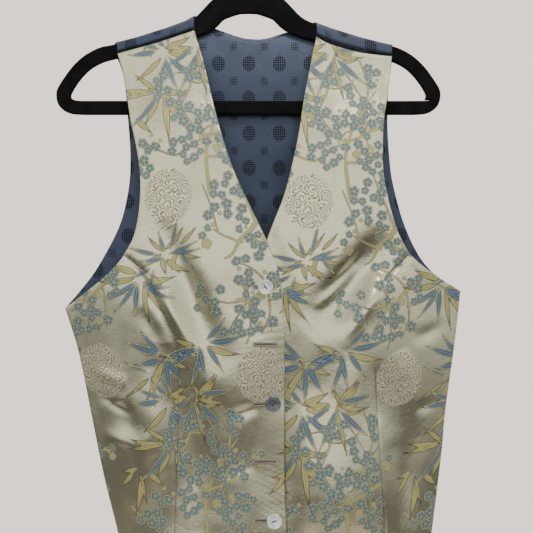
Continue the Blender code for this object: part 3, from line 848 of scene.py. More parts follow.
class Nodes:
    """A node tree, with short calls for its nodes."""

    def __init__(self, tree):
        self.tree = tree

    def node(self, kind, **settings):
        made = self.tree.nodes.new(kind)
        for name, value in settings.items():
            setattr(made, name, value)
        return made

    def put(self, socket, value):
        if isinstance(value, bpy.types.NodeSocket):
            self.tree.links.new(value, socket)
        else:
            socket.default_value = value

    def filled(self, made, values, output=0):
        """The output of a node whose first inputs take the values."""
        for socket, value in zip(made.inputs, values):
            self.put(socket, value)
        return made.outputs[output]

    def sums(self, operation, *values):
        return self.filled(self.node("ShaderNodeMath", operation=operation), values)

    def plus(self, first, second):
        return self.sums("ADD", first, second)

    def less(self, first, second):
        return self.sums("SUBTRACT", first, second)

    def times(self, first, second):
        return self.sums("MULTIPLY", first, second)

    def size(self, value):
        return self.sums("ABSOLUTE", value)

    def highest(self, first, *others):
        for other in others:
            first = self.sums("MAXIMUM", first, other)
        return first

    def length(self, across, down):
        return self.sums("SQRT", self.plus(self.times(across, across), self.times(down, down)))

    def waves(self, value, pitch):
        return self.sums("SINE", self.times(value, 2 * math.pi / pitch))

    def vector(self, operation, *values):
        made = self.node("ShaderNodeVectorMath", operation=operation)
        return self.filled(made, values, "Value" if operation == "LENGTH" else "Vector")

    def parts(self, vector):
        made = self.node("ShaderNodeSeparateXYZ")
        self.put(made.inputs[0], vector)
        return tuple(made.outputs)

    def field(self, name, output="Fac"):
        return self.node("ShaderNodeAttribute", attribute_name=name).outputs[output]

    def own_places(self):
        return self.node("ShaderNodeTexCoord").outputs["Object"]

    def noise(self, places, scale, detail=2.0, stretch=None):
        if stretch:
            places = self.vector("MULTIPLY", places, stretch)
        made = self.node("ShaderNodeTexNoise")
        self.put(made.inputs["Vector"], places)
        made.inputs["Scale"].default_value = scale
        made.inputs["Detail"].default_value = detail
        return made.outputs["Fac"]

    def eased(self, value, low, high, out_low=0.0, out_high=1.0):
        made = self.node("ShaderNodeMapRange", interpolation_type="SMOOTHSTEP")
        return self.filled(made, (value, low, high, out_low, out_high))

    def below(self, value, limit, soft):
        """1 where the value is under the limit, 0 above it."""
        return self.eased(value, limit - soft, limit + soft, 1.0, 0.0)

    def band(self, value, low, high, soft):
        return self.less(self.below(value, high, soft), self.below(value, low, soft))

    def blend(self, share, first, second, kind="RGBA"):
        made = self.node("ShaderNodeMix", data_type=kind)
        for name, value in (("Factor", share), ("A", first), ("B", second)):
            self.put(made.inputs[name], value)
        return made.outputs["Result"]

    def tinted(self, face, where, strength, tint):
        return self.blend(self.times(where, strength), face, tint)


class Finish(Nodes):
    """A material, with its shader's sockets."""

    def __init__(self, name):
        self.material = bpy.data.materials.new(name)
        self.material.use_nodes = True
        super().__init__(self.material.node_tree)
        self.shader = self.tree.nodes["Principled BSDF"]

    def set(self, **values):
        for name, value in values.items():
            self.put(self.shader.inputs[name.replace("_", " ")], value)

    def relief(self, height, distance):
        made = self.node("ShaderNodeBump")
        made.inputs["Strength"].default_value = 1.0
        made.inputs["Distance"].default_value = distance * MM
        self.put(made.inputs["Height"], height)
        self.put(self.shader.inputs["Normal"], made.outputs[0])


def colour(red, green, blue):
    """An RGBA value from sRGB shares of 255."""
    def linear(value):
        value /= 255
        return value / 12.92 if value <= 0.04045 else ((value + 0.055) / 1.055) ** 2.4

    return (linear(red), linear(green), linear(blue), 1.0)


# Colours of the cloth and its threads
SAGE_LIGHT = colour(208, 204, 176)
SAGE_DARK = colour(188, 184, 156)
ROUNDEL_GROUND = colour(212, 205, 176)
ROUNDEL_THREAD = colour(224, 216, 186)
ROUNDEL_SHADE = colour(80, 72, 48)
BLUE_LIGHT = colour(98, 134, 148)
BLUE_DARK = colour(38, 70, 90)
BLUE_LEAF = colour(38, 76, 112)
BLUE_VEIN = colour(156, 174, 176)
GOLD_LIGHT = colour(200, 192, 120)
GOLD_DARK = colour(92, 84, 44)
CREAM_PETAL = colour(176, 168, 116)
OUTLINE = colour(190, 182, 122)
MOTIF_SHADE = colour(42, 40, 28)
# Painted shade along the darts' sewn creases, and the darker random grain of the satin
CREASE_SHADE_AND_GRAIN_DARK = colour(60, 58, 44)
SLATE = colour(50, 60, 82)
SLATE_DEEP = colour(42, 51, 72)
SLATE_DOT = colour(6, 7, 12)


def roundel_weave(made, face):
    """Curls that wind round scattered centres: the face, their threads and gaps, and the rest."""
    roundel = made.field("roundel", "Vector")
    reach = made.field("roundel_reach")
    warped = made.node("ShaderNodeTexNoise")
    warped.inputs["Scale"].default_value = CURLS_WARP
    made.put(warped.inputs["Vector"], roundel)
    wander = made.times(made.less(warped.outputs["Fac"], 0.5), 0.14)
    in_roundel = made.below(made.plus(reach, wander), 0.98, 0.025)
    moved = made.vector("ADD", roundel, made.vector("MULTIPLY", warped.outputs["Color"], (9, 9, 0)))
    cells = made.node("ShaderNodeTexVoronoi", feature="F1")
    made.put(cells.inputs["Vector"], moved)
    cells.inputs["Scale"].default_value = CURLS_SCALE
    off = made.vector("SUBTRACT", moved, cells.outputs["Position"])
    off_x, off_y, _ = made.parts(off)
    winding = made.times(made.vector("LENGTH", off), 2 * math.pi / CURL_PITCH)
    curl = made.sums("SINE", made.plus(winding, made.sums("ARCTAN2", off_y, off_x)))
    thread = made.times(made.eased(curl, 0.0, 0.7), in_roundel)
    gap = made.times(made.eased(curl, -0.1, -0.6), in_roundel)
    face = made.blend(in_roundel, face, ROUNDEL_GROUND)
    face = made.tinted(face, gap, 0.8, ROUNDEL_SHADE)
    face = made.tinted(face, thread, 0.55, ROUNDEL_THREAD)
    return face, thread, gap, made.less(1.0, made.below(reach, 1.03, 0.015))


def branch_weave(made, face, threads, outside):
    """Gold branches: the face, the wood and its dark edge."""
    branch = made.field("branch_outline")
    wood = made.times(made.below(branch, 0.0, MOTIF_EDGE), outside)
    bark = made.times(made.band(branch, -0.05, 0.5, MOTIF_EDGE), outside)
    face = made.tinted(face, bark, 0.7, MOTIF_SHADE)
    gold = made.blend(made.eased(threads, 0.3, 0.6), GOLD_DARK, GOLD_LIGHT)
    return made.blend(wood, face, gold), wood, bark


def leaf_weave(made, face, outside):
    """Leaves with a midrib and fine veins beside it; the gold ones lie behind the blue ones."""
    leaf = 0.0
    for tone, body, veined, edge in (
        ("gold", GOLD_LIGHT, GOLD_DARK, GOLD_DARK), ("blue", BLUE_LEAF, BLUE_VEIN, GOLD_LIGHT),
    ):
        across = made.field(f"{tone}_leaf")
        distance = made.field(f"{tone}_outline")
        inside = made.times(made.below(distance, 0.0, MOTIF_EDGE), outside)
        rim = made.times(made.band(distance, -0.3, 0.3, MOTIF_EDGE), outside)
        shade = made.times(made.band(distance, 0.25, 0.8, 0.15), outside)
        face = made.tinted(face, shade, 0.7, MOTIF_SHADE)
        rib = made.below(made.size(across), 0.2, MOTIF_EDGE)
        vein = made.highest(rib, made.eased(made.waves(across, VEIN_PITCH), 0.6, 0.98))
        face = made.blend(inside, face, made.tinted(body, vein, 0.75, veined))
        face = made.tinted(face, rim, 0.85, edge)
        leaf = made.highest(leaf, inside, rim)
    return face, leaf


def blossom_weave(made, face, threads, outside):
    """Five-petalled blossoms: the face, the petals, their light edge and the dark one around."""
    at_x, at_y, gold = made.parts(made.field("blossom", "Vector"))
    reach = made.field("blossom_reach")
    fifth = 2 * math.pi / 5
    radius = made.length(at_x, at_y)
    turn = made.sums("FLOORED_MODULO", made.sums("ARCTAN2", at_y, at_x), fifth)
    turn = made.less(turn, fifth / 2)
    to_x = made.less(made.times(radius, made.sums("COSINE", turn)), 0.54)
    to_y = made.times(radius, made.sums("SINE", turn))
    petal = made.plus(made.length(to_x, to_y), made.eased(threads, 0.2, 0.8, 0.03, -0.03))
    bounded = made.times(made.below(reach, 1.04, 0.02), outside)
    around = made.times(made.band(petal, 0.48, 0.58, 0.04), outside)
    around = made.times(around, made.below(reach, 1.16, 0.03))
    petals = made.times(made.below(petal, 0.46, 0.03), bounded)
    petal_edge = made.times(made.band(petal, 0.38, 0.49, 0.03), bounded)
    parting = made.times(radius, made.sums("SINE", made.less(fifth / 2, made.size(turn))))
    notch = made.times(made.below(parting, 0.05, 0.03), petals)
    heart = made.times(made.below(radius, 0.15, 0.04), bounded)
    blue = made.blend(made.eased(threads, 0.38, 0.62), BLUE_DARK, BLUE_LIGHT)
    face = made.tinted(face, around, 0.8, MOTIF_SHADE)
    face = made.blend(petals, face, made.blend(made.eased(gold, 0.4, 0.6), blue, CREAM_PETAL))
    face = made.tinted(face, petal_edge, 0.8, OUTLINE)
    face = made.tinted(face, notch, 0.75, OUTLINE)
    return made.blend(heart, face, GOLD_LIGHT), petals, petal_edge, around


def brocade():
    """Pale satin with woven blossoms, bamboo and tone-on-tone roundels."""
    made = Finish("satin_brocade")
    cloth = made.field("cloth", "Vector")
    _, down, _ = made.parts(cloth)
    streaks = made.noise(cloth, 1.0, 3.0, (0.09, 0.8, 1))
    threads = made.noise(cloth, 1.0, 1.0, (0.9, 2.2, 1))
    slubs = made.plus(made.times(streaks, 0.6), made.times(threads, 0.4))
    ground = made.blend(made.eased(slubs, 0.35, 0.65), SAGE_DARK, SAGE_LIGHT)

    face, thread, gap, outside = roundel_weave(made, ground)
    face, wood, bark = branch_weave(made, face, threads, outside)
    face, leaf = leaf_weave(made, face, outside)
    face, petals, petal_edge, around = blossom_weave(made, face, threads, outside)

    # Dark between the motifs' threads, and painted shade: a thin dark line along the darts' sewn creases
    motif = made.highest(petals, leaf, wood, petal_edge, bark)
    between = made.times(made.eased(threads, 0.5, 0.38), motif)
    face = made.tinted(face, between, 0.6, MOTIF_SHADE)
    motif = made.highest(motif, around, made.times(thread, 0.4), made.times(gap, 0.8))
    seam_away, seam_close, _ = made.parts(made.field("seam", "Vector"))
    seam = made.times(made.below(made.size(seam_away), 0.4, 0.2), seam_close)
    face = made.tinted(face, seam, 0.75, CREASE_SHADE_AND_GRAIN_DARK)

    grain = made.noise(cloth, 1.3, 0.0, (1.0, 1.7, 1))
    face = made.blend(made.eased(grain, 0.42, 0.75, 0.0, 0.16), face, SAGE_LIGHT)
    face = made.blend(made.eased(grain, 0.55, 0.25, 0.0, 0.36), face, CREASE_SHADE_AND_GRAIN_DARK)
    weave = made.times(made.waves(down, WEAVE_PITCH), 0.12)
    made.relief(made.plus(motif, made.times(made.plus(weave, slubs), 0.5)), 0.1)
    made.set(
        Base_Color=face, Metallic=made.eased(motif, 0.0, 1.0, 0.84, 0.25),
        Roughness=made.eased(motif, 0.0, 1.0, 0.24, 0.5),
        Anisotropic=0.4, Sheen_Weight=0.08, Sheen_Roughness=0.4, Specular_IOR_Level=0.5,
    )
    return made.material


def dark_satin():
    """Slate-blue satin jacquard with dotted roundels and small dotted squares between them."""
    made = Finish("slate_jacquard")
    cloth = made.field("cloth", "Vector")
    across, down, _ = made.parts(cloth)

    def centred(value, repeat, offset):
        turned = made.sums("FLOORED_MODULO", made.plus(value, offset), repeat)
        return made.less(turned, repeat / 2)

    def dots(value, pitch, half):
        return made.below(made.size(centred(value, pitch, 0.0)), half, MOTIF_EDGE)

    big_x = centred(across, JACQUARD_ACROSS, JACQUARD_ACROSS / 2)
    big_y = centred(down, JACQUARD_DOWN, JACQUARD_DOWN / 2)
    small_x = centred(across, JACQUARD_ACROSS, 0.0)
    small_y = centred(down, JACQUARD_DOWN, 0.0)
    size = made.length(made.sums("DIVIDE", big_x, 7.6), made.sums("DIVIDE", big_y, 9.2))
    small_part = made.times(
        made.below(made.size(small_x), 4.0, 0.1), made.below(made.size(small_y), 4.4, 0.1))
    big_dots = made.times(dots(big_x, 2.5, 0.88), dots(big_y, 2.6, 0.92))
    small_dots = made.times(dots(small_x, 2.6, 0.8), dots(small_y, 2.8, 0.84))
    dot = made.highest(
        made.times(made.below(size, 1.0, 0.02), big_dots), made.times(small_part, small_dots))
    streaks = made.noise(cloth, 1.0, 3.0, (0.3, 1.1, 1))
    threads = made.noise(cloth, 1.0, 1.0, (1.2, 2.4, 1))
    ground = made.blend(made.eased(streaks, 0.35, 0.65), SLATE_DEEP, SLATE)
    weave = made.times(made.waves(down, WEAVE_PITCH), 0.15)
    height = made.plus(made.times(threads, 0.6), weave)
    made.relief(made.less(height, made.times(dot, 0.35)), 0.14)
    made.set(
        Base_Color=made.tinted(ground, dot, 0.9, SLATE_DOT),
        Metallic=made.eased(dot, 0.0, 1.0, 0.35, 0.0),
        Roughness=made.eased(dot, 0.0, 1.0, 0.36, 0.8), Anisotropic=0.4, Sheen_Weight=0.06,
        Specular_IOR_Level=made.eased(dot, 0.0, 1.0, 0.5, 0.1),
    )
    return made.material


def flock():
    """Black flocked plastic: a dense short pile that catches light at its edges."""
    made = Finish("black_flock")
    places = made.own_places()
    pile = made.noise(places, 1400.0, 2.0)
    patches = made.noise(places, 60.0, 3.0)
    base = made.blend(made.eased(patches, 0.35, 0.7), colour(8, 8, 10), colour(16, 16, 19))
    made.relief(pile, 0.35)
    made.set(
        Base_Color=base, Roughness=made.eased(pile, 0.3, 0.7, 0.85, 1.0), Sheen_Weight=0.12,
        Sheen_Roughness=0.35, Specular_IOR_Level=0.12,
    )
    return made.material


def bright_wire():
    """Bright bent wire with fine scratches along it."""
    made = Finish("hook_metal")
    places = made.own_places()
    wear = made.noise(places, 420.0, 4.0)
    smears = made.noise(places, 60.0, 2.0)
    base = made.blend(made.eased(smears, 0.4, 0.65), colour(206, 207, 210), colour(182, 183, 188))
    made.relief(wear, 0.02)
    made.set(Base_Color=base, Metallic=1.0, Roughness=made.eased(wear, 0.3, 0.75, 0.14, 0.34))
    return made.material


def pearl(name, low, high, roughness):
    """Polished shell-like button plastic with soft clouded bands."""
    made = Finish(name)
    places = made.own_places()
    clouds = made.noise(places, 240.0, 4.0, (1, 2.2, 1))
    fine = made.noise(places, 1500.0, 2.0)
    made.relief(fine, 0.01)
    made.set(
        Base_Color=made.blend(made.eased(clouds, 0.35, 0.68), low, high),
        Roughness=made.eased(clouds, 0.3, 0.7, roughness, roughness + 0.1),
        Coat_Weight=0.8, Coat_Roughness=0.06, Specular_IOR_Level=0.6,
    )
    return made.material


def thread_finish(name, low, high):
    made = Finish(name)
    places = made.own_places()
    twist = made.noise(places, 1800.0, 2.0, (1, 1, 3))
    made.relief(twist, 0.05)
    made.set(
        Base_Color=made.blend(made.eased(twist, 0.35, 0.65), low, high), Roughness=0.6,
        Sheen_Weight=0.3,
    )
    return made.material


# Pieces

def corner_halfway(first, second):
    """Two smooth lines in turn, with a corner halfway."""
    return joined((0.5,), smooth_line(first), smooth_line(second))


def front_piece(name, armhole, side, neck, front_edge, seam, hem, depth, start, flipped, finish):
    outline = patch(
        corner_halfway(armhole, side), corner_halfway(neck, front_edge),
        smooth_line(seam), smooth_line(hem),
    )
    across, down = (spaced(count) for count in FRONT_GRID)
    flat = outline(across, down).reshape(-1, 2)
    x, z = flat[:, 0], flat[:, 1]
    points = np.stack([x, depth(x, z), z], 1)
    faces = grid_faces(len(down), len(across), flipped)
    fields = brocade_fields(x, z, start)
    return shell(f"{name}_cloth", points, faces, FRONT_WALL, fields, finish, swell=0.3)


def jacquard_places(across, down):
    return np.column_stack([across - JACQUARD_START.x, JACQUARD_START.z + down])


def back_outline():
    neck_right, neck_left = NECKLINE_BACK[0], NECKLINE_BACK[-1]
    right_end, left_end = BACK_ARMHOLE_RIGHT[0], BACK_ARMHOLE_LEFT[0]

    def raised(point):
        return Point(point.x, float(fold_centre(point.x)))

    def shoulder(first, last):
        def at(share):
            x = first + (last - first) * share
            return np.stack([x, fold_centre(x)], -1)

        return at

    return patch(
        corner_halfway((raised(right_end), *BACK_ARMHOLE_RIGHT[1:]), SIDE_RIGHT),
        corner_halfway((raised(left_end), *BACK_ARMHOLE_LEFT[1:]), SIDE_LEFT),
        joined(
            (NECK_STARTS, NECK_ENDS), shoulder(right_end.x, neck_right.x),
            smooth_line((raised(neck_right), *NECKLINE_BACK[1:-1], raised(neck_left))),
            shoulder(neck_left.x, left_end.x),
        ),
        smooth_line(HEM_BACK),
    )


def fold_over_rows(start_x, seam_points):
    """Rows of points over the hanger's arm, then straight on to the shoulder seam."""
    for step in range(1, FOLD_OVER_STEPS + 1):
        angle = math.pi * step / FOLD_OVER_STEPS
        x = start_x + (seam_points[:, 0] - start_x) * step / (FOLD_OVER_STEPS + 1)
        y = np.full_like(x, SHOULDER_RADIUS * math.cos(angle))
        row = np.stack([x, y, fold_centre(x) + SHOULDER_RADIUS * math.sin(angle)], 1)
        yield row
    end = np.stack([seam_points[:, 0], y, seam_points[:, 1] + SEAM_GAP], 1)
    for share in (0.5, 1):
        yield row + (end - row) * share


def back_piece(finish):
    outline = back_outline()
    across = spaced(BACK_GRID[0] + 4)
    neck_first, neck_last = (round(share * BACK_GRID[0]) + 2 for share in (NECK_STARTS, NECK_ENDS))
    down = spaced(BACK_GRID[1])
    flat = outline(across, down).reshape(-1, 2)
    x, z = flat[:, 0], flat[:, 1]
    points = [np.stack([x, back_depth(x, z) + back_creases(x, z), z], 1)]
    places = [np.stack([x, -z], 1)]
    faces = [grid_faces(len(down), len(across), False)]
    count = len(x)
    seams = (
        (0, neck_first, smooth_line(SHOULDER_SEAM_RIGHT), False),
        (neck_last, len(across) - 1, smooth_line(SHOULDER_SEAM_LEFT), True),
    )
    for first, last, seam, from_neck in seams:
        previous = np.arange(first, last + 1)
        start_x, travelled, before = x[previous], -z[previous], points[0][previous]
        share = (across[previous] - across[first]) / (across[last] - across[first])
        for row in fold_over_rows(start_x, seam(1 - share if from_neck else share)):
            travelled = travelled - np.linalg.norm(row - before, axis=1)
            numbers = count + np.arange(len(row))
            faces.append(np.stack([previous[:-1], numbers[:-1], numbers[1:], previous[1:]], 1))
            points.append(row)
            places.append(np.stack([start_x, travelled], 1))
            count += len(row)
            previous, before = numbers, row
    fields = {"cloth": jacquard_places(*np.vstack(places).T)}
    return shell("back_cloth", np.vstack(points), np.vstack(faces), BACK_WALL, fields, finish)


BACK_CREASES = table(
    Fold,
    ((-120, -300), (-60, -360), (10, -390), 16, 1.6),
    ((150, -300), (90, -370), (30, -400), 16, 1.6),
    ((-60, -430), (-50, -520), (-58, -640), 18, 2.0),
    ((110, -430), (104, -520), (112, -640), 18, 2.0),
    ((-150, -470), (-110, -500), (-60, -506), 12, -1.4),
    ((200, -460), (150, -500), (100, -510), 12, -1.4),
    ((20, -480), (24, -580), (18, -700), 20, -1.8),
    ((-140, -600), (-110, -640), (-104, -710), 14, 1.4),
    ((180, -600), (160, -640), (156, -710), 14, 1.4),
)


def back_creases(x, z):
    soft = fold_depths(x, z, BACK_CREASES) + 0.8 * rumple_depths(x, z)
    return soft * np.minimum(2 * crown(x, z), 1.0)


def lining_piece(finish):
    outline = back_outline()
    across = LINING_INSET + (1 - 2 * LINING_INSET) * spaced(LINING_GRID[0])
    down = LINING_TOP + (LINING_BOTTOM - LINING_TOP) * spaced(LINING_GRID[1])
    flat = outline(across, down).reshape(-1, 2)
    x, z = flat[:, 0], flat[:, 1]
    inwards = BACK_WALL / 2 + LINING_GAP + LINING_WALL / 2
    points = np.stack([x, back_depth(x, z) + back_creases(x, z) - inwards, z], 1)
    faces = grid_faces(len(down), len(across), True)
    fields = {"cloth": jacquard_places(x, -z)}
    return shell("back_lining_cloth", points, faces, LINING_WALL, fields, finish)


def collect(name, meshes, finish):
    """One object from several small meshes, given as (points, faces) in millimetres."""
    points, faces = [], []
    for some_points, some_faces in meshes:
        faces.extend([tuple(k + len(points) for k in face) for face in some_faces])
        points.extend(some_points)
    mesh = bpy.data.meshes.new(name)
    mesh.from_pydata([tuple(v * MM for v in p) for p in points], [], faces)
    mesh.shade_smooth()
    mesh.materials.append(finish)
    return add(name, mesh)


def strand(line, radius, sides=6):
    """A round thread along a line of points, tapered shut at both ends."""
    points, faces = [], []
    line = [Vector(p) for p in line]
    for number, place in enumerate(line):
        way = line[min(number + 1, len(line) - 1)] - line[max(number - 1, 0)]
        turn = way.to_track_quat("Z", "Y")
        size = radius * (0.35 if number in (0, len(line) - 1) else 1.0)
        for side in range(sides):
            angle = 2 * math.pi * side / sides
            points.append(place + turn @ Vector((math.cos(angle) * size, math.sin(angle) * size, 0)))
        if number:
            for side in range(sides):
                a, b = (number - 1) * sides + side, (number - 1) * sides + (side + 1) % sides
                faces.append((a, b, b + sides, a + sides))
    faces.append(tuple(range(sides))[::-1])
    faces.append(tuple(range(len(points) - sides, len(points))))
    return points, faces


def surface_at(depth, x, z):
    """A point on a depth function's surface and the outward normal there."""
    reach = 3.0
    xs = np.array([x, x + reach, x - reach, x, x], float)
    zs = np.array([z, z, z, z + reach, z - reach], float)
    y, right, left, up, down = depth(xs, zs)
    normal = Vector((2 * reach, right - left, 0)).cross(Vector((0, up - down, 2 * reach))).normalized()
    return Vector((x, y, z)), normal


def on_front(x, z, lift):
    """A point that far above the right front's outer face."""
    place, normal = surface_at(front_depth, x, z)
    return place + normal * (FRONT_WALL / 2 + lift)


def towards(angle):
    return math.cos(angle), math.sin(angle)


def buttonhole(hole, finish, dark):
    """A keyhole worked in satin stitch: short bars round a slot, with an eye at the edge end. Dark
    strands along the slot and round the eye paint the shade in the opening.
    """
    eye, half, bite = 1.7, 0.5, 2.2
    pitch, thick, slot = 0.62, 0.36, 0.55
    straight = hole.end - hole.start - 2 * eye
    steps = round(straight / pitch)
    straight_x = [hole.start + straight * k / steps for k in range(steps + 1)]
    route = [(x, -half, (0, -1)) for x in straight_x]
    eye_x = hole.end - eye
    eye_steps = round(2 * math.pi * (eye + 0.3) / pitch)
    for k in range(1, eye_steps):
        way = towards(-2.6 + 5.2 * k / eye_steps)
        route.append((eye_x + eye * 0.75 * way[0], eye * 0.75 * way[1], way))
    route += [(x, half, (0, 1)) for x in reversed(straight_x)]
    for k in range(5):
        way = towards(math.pi / 2 + math.pi * (k + 1) / 6)
        route.append((hole.start + 0.3 * way[0], half * way[1], way))
    bars = []
    for x, up, (way_x, way_z) in route:
        line = []
        for share, lift in ((0.0, -0.25), (0.18, 0.22), (0.5, 0.42), (0.85, 0.3), (1.0, -0.1)):
            line.append(on_front(x + way_x * bite * share, hole.z + up + way_z * bite * share, lift))
        bars.append(strand(line, thick, 5))
    # Painted shade: dark strands along the slot and round the eye, where the opening lies in shadow
    slot_line = [on_front(hole.start + (eye_x - hole.start) * k / 14, hole.z, 0.0) for k in range(15)]
    ring = [towards(2 * math.pi * k / 16) for k in range(17)]
    eye_ring = [on_front(eye_x + 0.5 * x, hole.z + 0.5 * z, 0.0) for x, z in ring]
    inside = [strand(line, slot, 8) for line in (slot_line, eye_ring)]
    for name, meshes, used in (("stitching", bars, finish), ("slit_shade", inside, dark)):
        settle(collect(f"buttonhole_{hole.number}_{name}", meshes, used), None)


def button_mesh(name, finish):
    """A two-hole button with a raised rim and a ring, its back at the origin, facing +Z."""
    edge, high = BUTTON_RADIUS, BUTTON_THICKNESS
    profile = (
        (0.0, 0.60 * high), (0.2 * edge, 0.60 * high), (0.42 * edge, 0.62 * high),
        (0.5 * edge, 0.66 * high), (0.56 * edge, 0.72 * high), (0.6 * edge, 0.74 * high),
        (0.63 * edge, 0.70 * high), (0.66 * edge, 0.69 * high), (0.72 * edge, 0.80 * high),
        (0.78 * edge, 0.93 * high), (0.85 * edge, 0.995 * high), (0.91 * edge, 0.97 * high),
        (0.96 * edge, 0.87 * high), (0.99 * edge, 0.68 * high), (edge, 0.48 * high),
        (0.99 * edge, 0.3 * high), (0.95 * edge, 0.12 * high), (0.88 * edge, 0.02 * high),
        (0.8 * edge, 0.0), (0.0, 0.0),
    )
    mesh = bpy.data.meshes.new(name)
    edges = [(k, k + 1) for k in range(len(profile) - 1)]
    mesh.from_pydata([(radius * MM, 0, height * MM) for radius, height in profile], edges, [])
    blank = add(name, mesh)
    spin = blank.modifiers.new("Turn", "SCREW")
    spin.steps = spin.render_steps = 64
    spin.use_merge_vertices = True
    spin.merge_threshold = 0.00002
    cutters = []
    for side in (-1, 1):
        bpy.ops.mesh.primitive_cylinder_add(
            vertices=24, radius=BUTTON_HOLE_RADIUS * MM, depth=3 * high * MM,
            location=(side * BUTTON_HOLE_APART / 2 * MM, 0, 0),
        )
        cutters.append(bpy.context.object)
        cut = blank.modifiers.new("Hole", "BOOLEAN")
        cut.object = cutters[-1]
    bpy.context.view_layer.update()
    graph = bpy.context.evaluated_depsgraph_get()
    turned = bpy.data.meshes.new_from_object(blank.evaluated_get(graph))
    turned.materials.clear()
    turned.materials.append(finish)
    turned.shade_smooth()
    turned.set_sharp_from_angle(angle=math.radians(40))
    for used in (blank, *cutters):
        bpy.data.objects.remove(used, do_unlink=True)
    return turned


def buttons(finishes, thread):
    meshes = {name: button_mesh(f"button_{name}", finish) for name, finish in finishes.items()}
    for button in BUTTONS:
        depth = front_depth if button.fastened else under_depth
        place, normal = surface_at(depth, button.x, button.z)
        stitch = 0.35 if not button.fastened else 0.7
        seat = place + normal * (FRONT_WALL / 2 + stitch)
        turn = normal.to_track_quat("Z", "Y") @ Quaternion((0, 0, 1), math.radians(button.turn))
        piece = add(f"button_{button.number}_pearl", meshes[button.finish])
        piece.location = seat * MM
        piece.rotation_mode = "QUATERNION"
        piece.rotation_quaternion = turn
        settle(piece, f"button_{button.number}")
        reach, top = BUTTON_HOLE_APART / 2, BUTTON_THICKNESS * 0.6
        strands = []
        for number in range(5):
            side = (number - 2) * 0.28
            lift = 0.34 - 0.05 * abs(number - 2)
            line = [
                seat + turn @ Vector((share * reach, side, top + height * lift))
                for share, height in THREAD_ARCH
            ]
            strands.append(strand(line, 0.2, 6))
        sewn = collect(f"button_{button.number}_thread", strands, thread)
        settle(sewn, None)


def smooth_outline(half):
    """A closed outline through a half one mirrored in the hanger's middle, finely curved."""
    whole = [Point(-p.x, p.z) for p in reversed(half) if p.x > 0] + list(half)
    line = smooth_line(whole)(np.linspace(0, 1, 260))
    return line.tolist()


def curve_piece(name, lines, finish, **settings):
    """A curve through lines of places in millimetres, closed where it is flat."""
    curve = bpy.data.curves.new(name, "CURVE")
    for setting, value in settings.items():
        setattr(curve, setting, value)
    for line in lines:
        spline = curve.splines.new("POLY")
        spline.points.add(len(line) - 1)
        for point, place in zip(spline.points, line):
            point.co = (*(value * MM for value in place), 1)
        spline.use_cyclic_u = curve.dimensions == "2D"
    curve.materials.append(finish)
    return add(name, curve)


def hanger(finish):
    lines = [[(x, z, 0) for x, z in smooth_outline(half)] for half in (HANGER_TOP, HANGER_WINDOW)]
    piece = curve_piece(
        "hanger_flocked", lines, finish, dimensions="2D", fill_mode="BOTH",
        extrude=(HANGER_THICKNESS / 2 - HANGER_EDGE_ROUND) * MM,
        bevel_depth=HANGER_EDGE_ROUND * MM, bevel_resolution=5, offset=-HANGER_EDGE_ROUND * MM,
    )
    piece.rotation_euler = (math.pi / 2, 0, 0)
    settle(piece, "hanger")


def hook(finish):
    radius = HOOK_INNER_RADIUS + HOOK_WIRE / 2
    angles = np.radians(np.linspace(HOOK_TIP_ANGLE, HOOK_FOOT_ANGLE, 60))
    line = [(radius * math.cos(a), radius * math.sin(a) - HOOK_INNER_RADIUS) for a in angles]
    line += smooth_line((line[-1], *HOOK_SHANK))(np.linspace(0, 1, 30))[1:].tolist()
    piece = curve_piece(
        "hanger_hook_wire", [[(x, 0, z) for x, z in line]], finish, dimensions="3D",
        bevel_depth=HOOK_WIRE / 2 * MM, bevel_resolution=6, use_fill_caps=True,
    )
    settle(piece, "hanger_hook")


# Stage

CAMERA_X = 21
CAMERA_Z = -407
CAMERA_AWAY = 700
LENS = 40.8
WALL_TINT = (0.81, 0.70, 0.63, 1.0)
ROOM_TINT = (0.69, 0.70, 0.675, 1.0)
LAMP_TINT = (1.0, 0.985, 0.95)
WALL_STRENGTH = 2.0
ROOM_TO_WALL = (0.1, 0.5, 0.0, 1.0)
ROOM_BY_HEIGHT = (-0.37, 0.02, 0.06, 2.15)
ROOM_UNDER_CEILING = (0.40, 0.62, 1.0, 0.5)
ROOM_BY_SIDE = (0.25, 0.95, 1.2, 0.8)


def spot_light(name, place, target, cone, radius, power):
    lamp = bpy.data.lights.new(name, "SPOT")
    lamp.spot_size = math.radians(cone)
    lamp.spot_blend = 1.0
    lamp.shadow_soft_size = radius
    lamp.energy = power
    lamp.color = LAMP_TINT
    thing = add(name, lamp)
    thing.location = place
    thing.rotation_euler = (Vector(target) - Vector(place)).to_track_quat("-Z", "Y").to_euler()


def studio_world():
    """A plain pale room: even behind the object, and in front dim below and at both sides."""
    world = bpy.data.worlds.new("studio")
    bpy.context.scene.world = world
    world.use_nodes = True
    made = Nodes(world.node_tree)
    background = made.tree.nodes["Background"]
    aside, behind, height = made.parts(made.node("ShaderNodeTexCoord").outputs["Generated"])
    to_wall = made.eased(behind, *ROOM_TO_WALL)
    by_side = made.eased(made.size(aside), *ROOM_BY_SIDE)
    room = made.times(made.eased(height, *ROOM_BY_HEIGHT), by_side)
    room = made.times(room, made.eased(height, *ROOM_UNDER_CEILING))
    strength = made.blend(to_wall, room, WALL_STRENGTH, "FLOAT")
    made.put(background.inputs["Strength"], strength)
    made.put(background.inputs["Color"], made.blend(to_wall, ROOM_TINT, WALL_TINT))


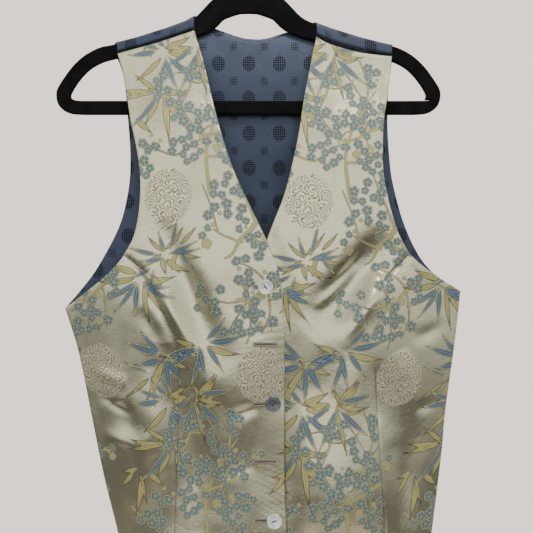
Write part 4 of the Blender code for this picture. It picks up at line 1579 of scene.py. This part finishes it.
def stage():
    floor = Finish("pale_floor")
    places = floor.own_places()
    mottle = floor.noise(places, 6.0, 4.0)
    floor.set(
        Base_Color=floor.blend(mottle, colour(218, 210, 204), colour(226, 219, 214)), Roughness=0.85,
    )
    bpy.ops.mesh.primitive_circle_add(
        vertices=96, radius=0.85, fill_type="NGON", location=(0.02, 0, -1.2),
    )
    ground = bpy.context.object
    ground.name = "floor"
    ground.data.materials.append(floor.material)

    studio_world()
    spot_light("key", (0.03, -0.58, 0.5), (0.02, 0, -0.5), 70, 0.07, 18)
    spot_light("glint", (0.5, -0.8, 0.5), (0.06, 0, -0.36), 60, 0.08, 3.5)

    camera = bpy.data.cameras.new("camera")
    camera.lens = LENS
    camera.sensor_width = 36
    viewer = add("camera", camera)
    viewer.location = (CAMERA_X * MM, -CAMERA_AWAY * MM, CAMERA_Z * MM)
    viewer.rotation_euler = (math.pi / 2, 0, 0)
    bpy.context.scene.camera = viewer


# The flat cut of what shows of each sheet, in metres and square metres
Cut = namedtuple("Cut", "across down area")


def build():
    stage()
    pale = brocade()
    dark = dark_satin()
    right = front_piece(
        "front_right", ARMHOLE_RIGHT, SIDE_RIGHT, NECK_RIGHT, FRONT_EDGE_RIGHT, SHOULDER_SEAM_RIGHT,
        HEM_RIGHT, front_depth, PATTERN_RIGHT, True, pale,
    )
    settle(right, "front_right")
    left = front_piece(
        "front_left", ARMHOLE_LEFT, SIDE_LEFT, NECK_LEFT, FRONT_EDGE_LEFT, SHOULDER_SEAM_LEFT,
        HEM_LEFT, under_depth, PATTERN_LEFT, False, pale,
    )
    settle(left, "front_left")
    back = back_piece(dark)
    settle(back, "back")
    lining = lining_piece(dark)
    settle(lining, "back_lining")
    finishes = {
        "light": pearl("pearl_light", colour(178, 182, 186), colour(232, 233, 230), 0.16),
        "dark": pearl("pearl_dark", colour(52, 57, 66), colour(76, 82, 92), 0.12),
    }
    sewing = thread_finish("dark_thread", colour(44, 42, 40), colour(78, 74, 68))
    buttons(finishes, sewing)
    stitches = thread_finish("buttonhole_thread", colour(124, 116, 100), colour(156, 148, 130))
    # Dark strands that paint the shade in the buttonholes' openings
    slit_shade = thread_finish("buttonhole_slit_shade", colour(34, 30, 30), colour(52, 48, 46))
    for hole in BUTTONHOLES:
        buttonhole(hole, stitches, slit_shade)
    hanger(flock())
    hook(bright_wire())


build()
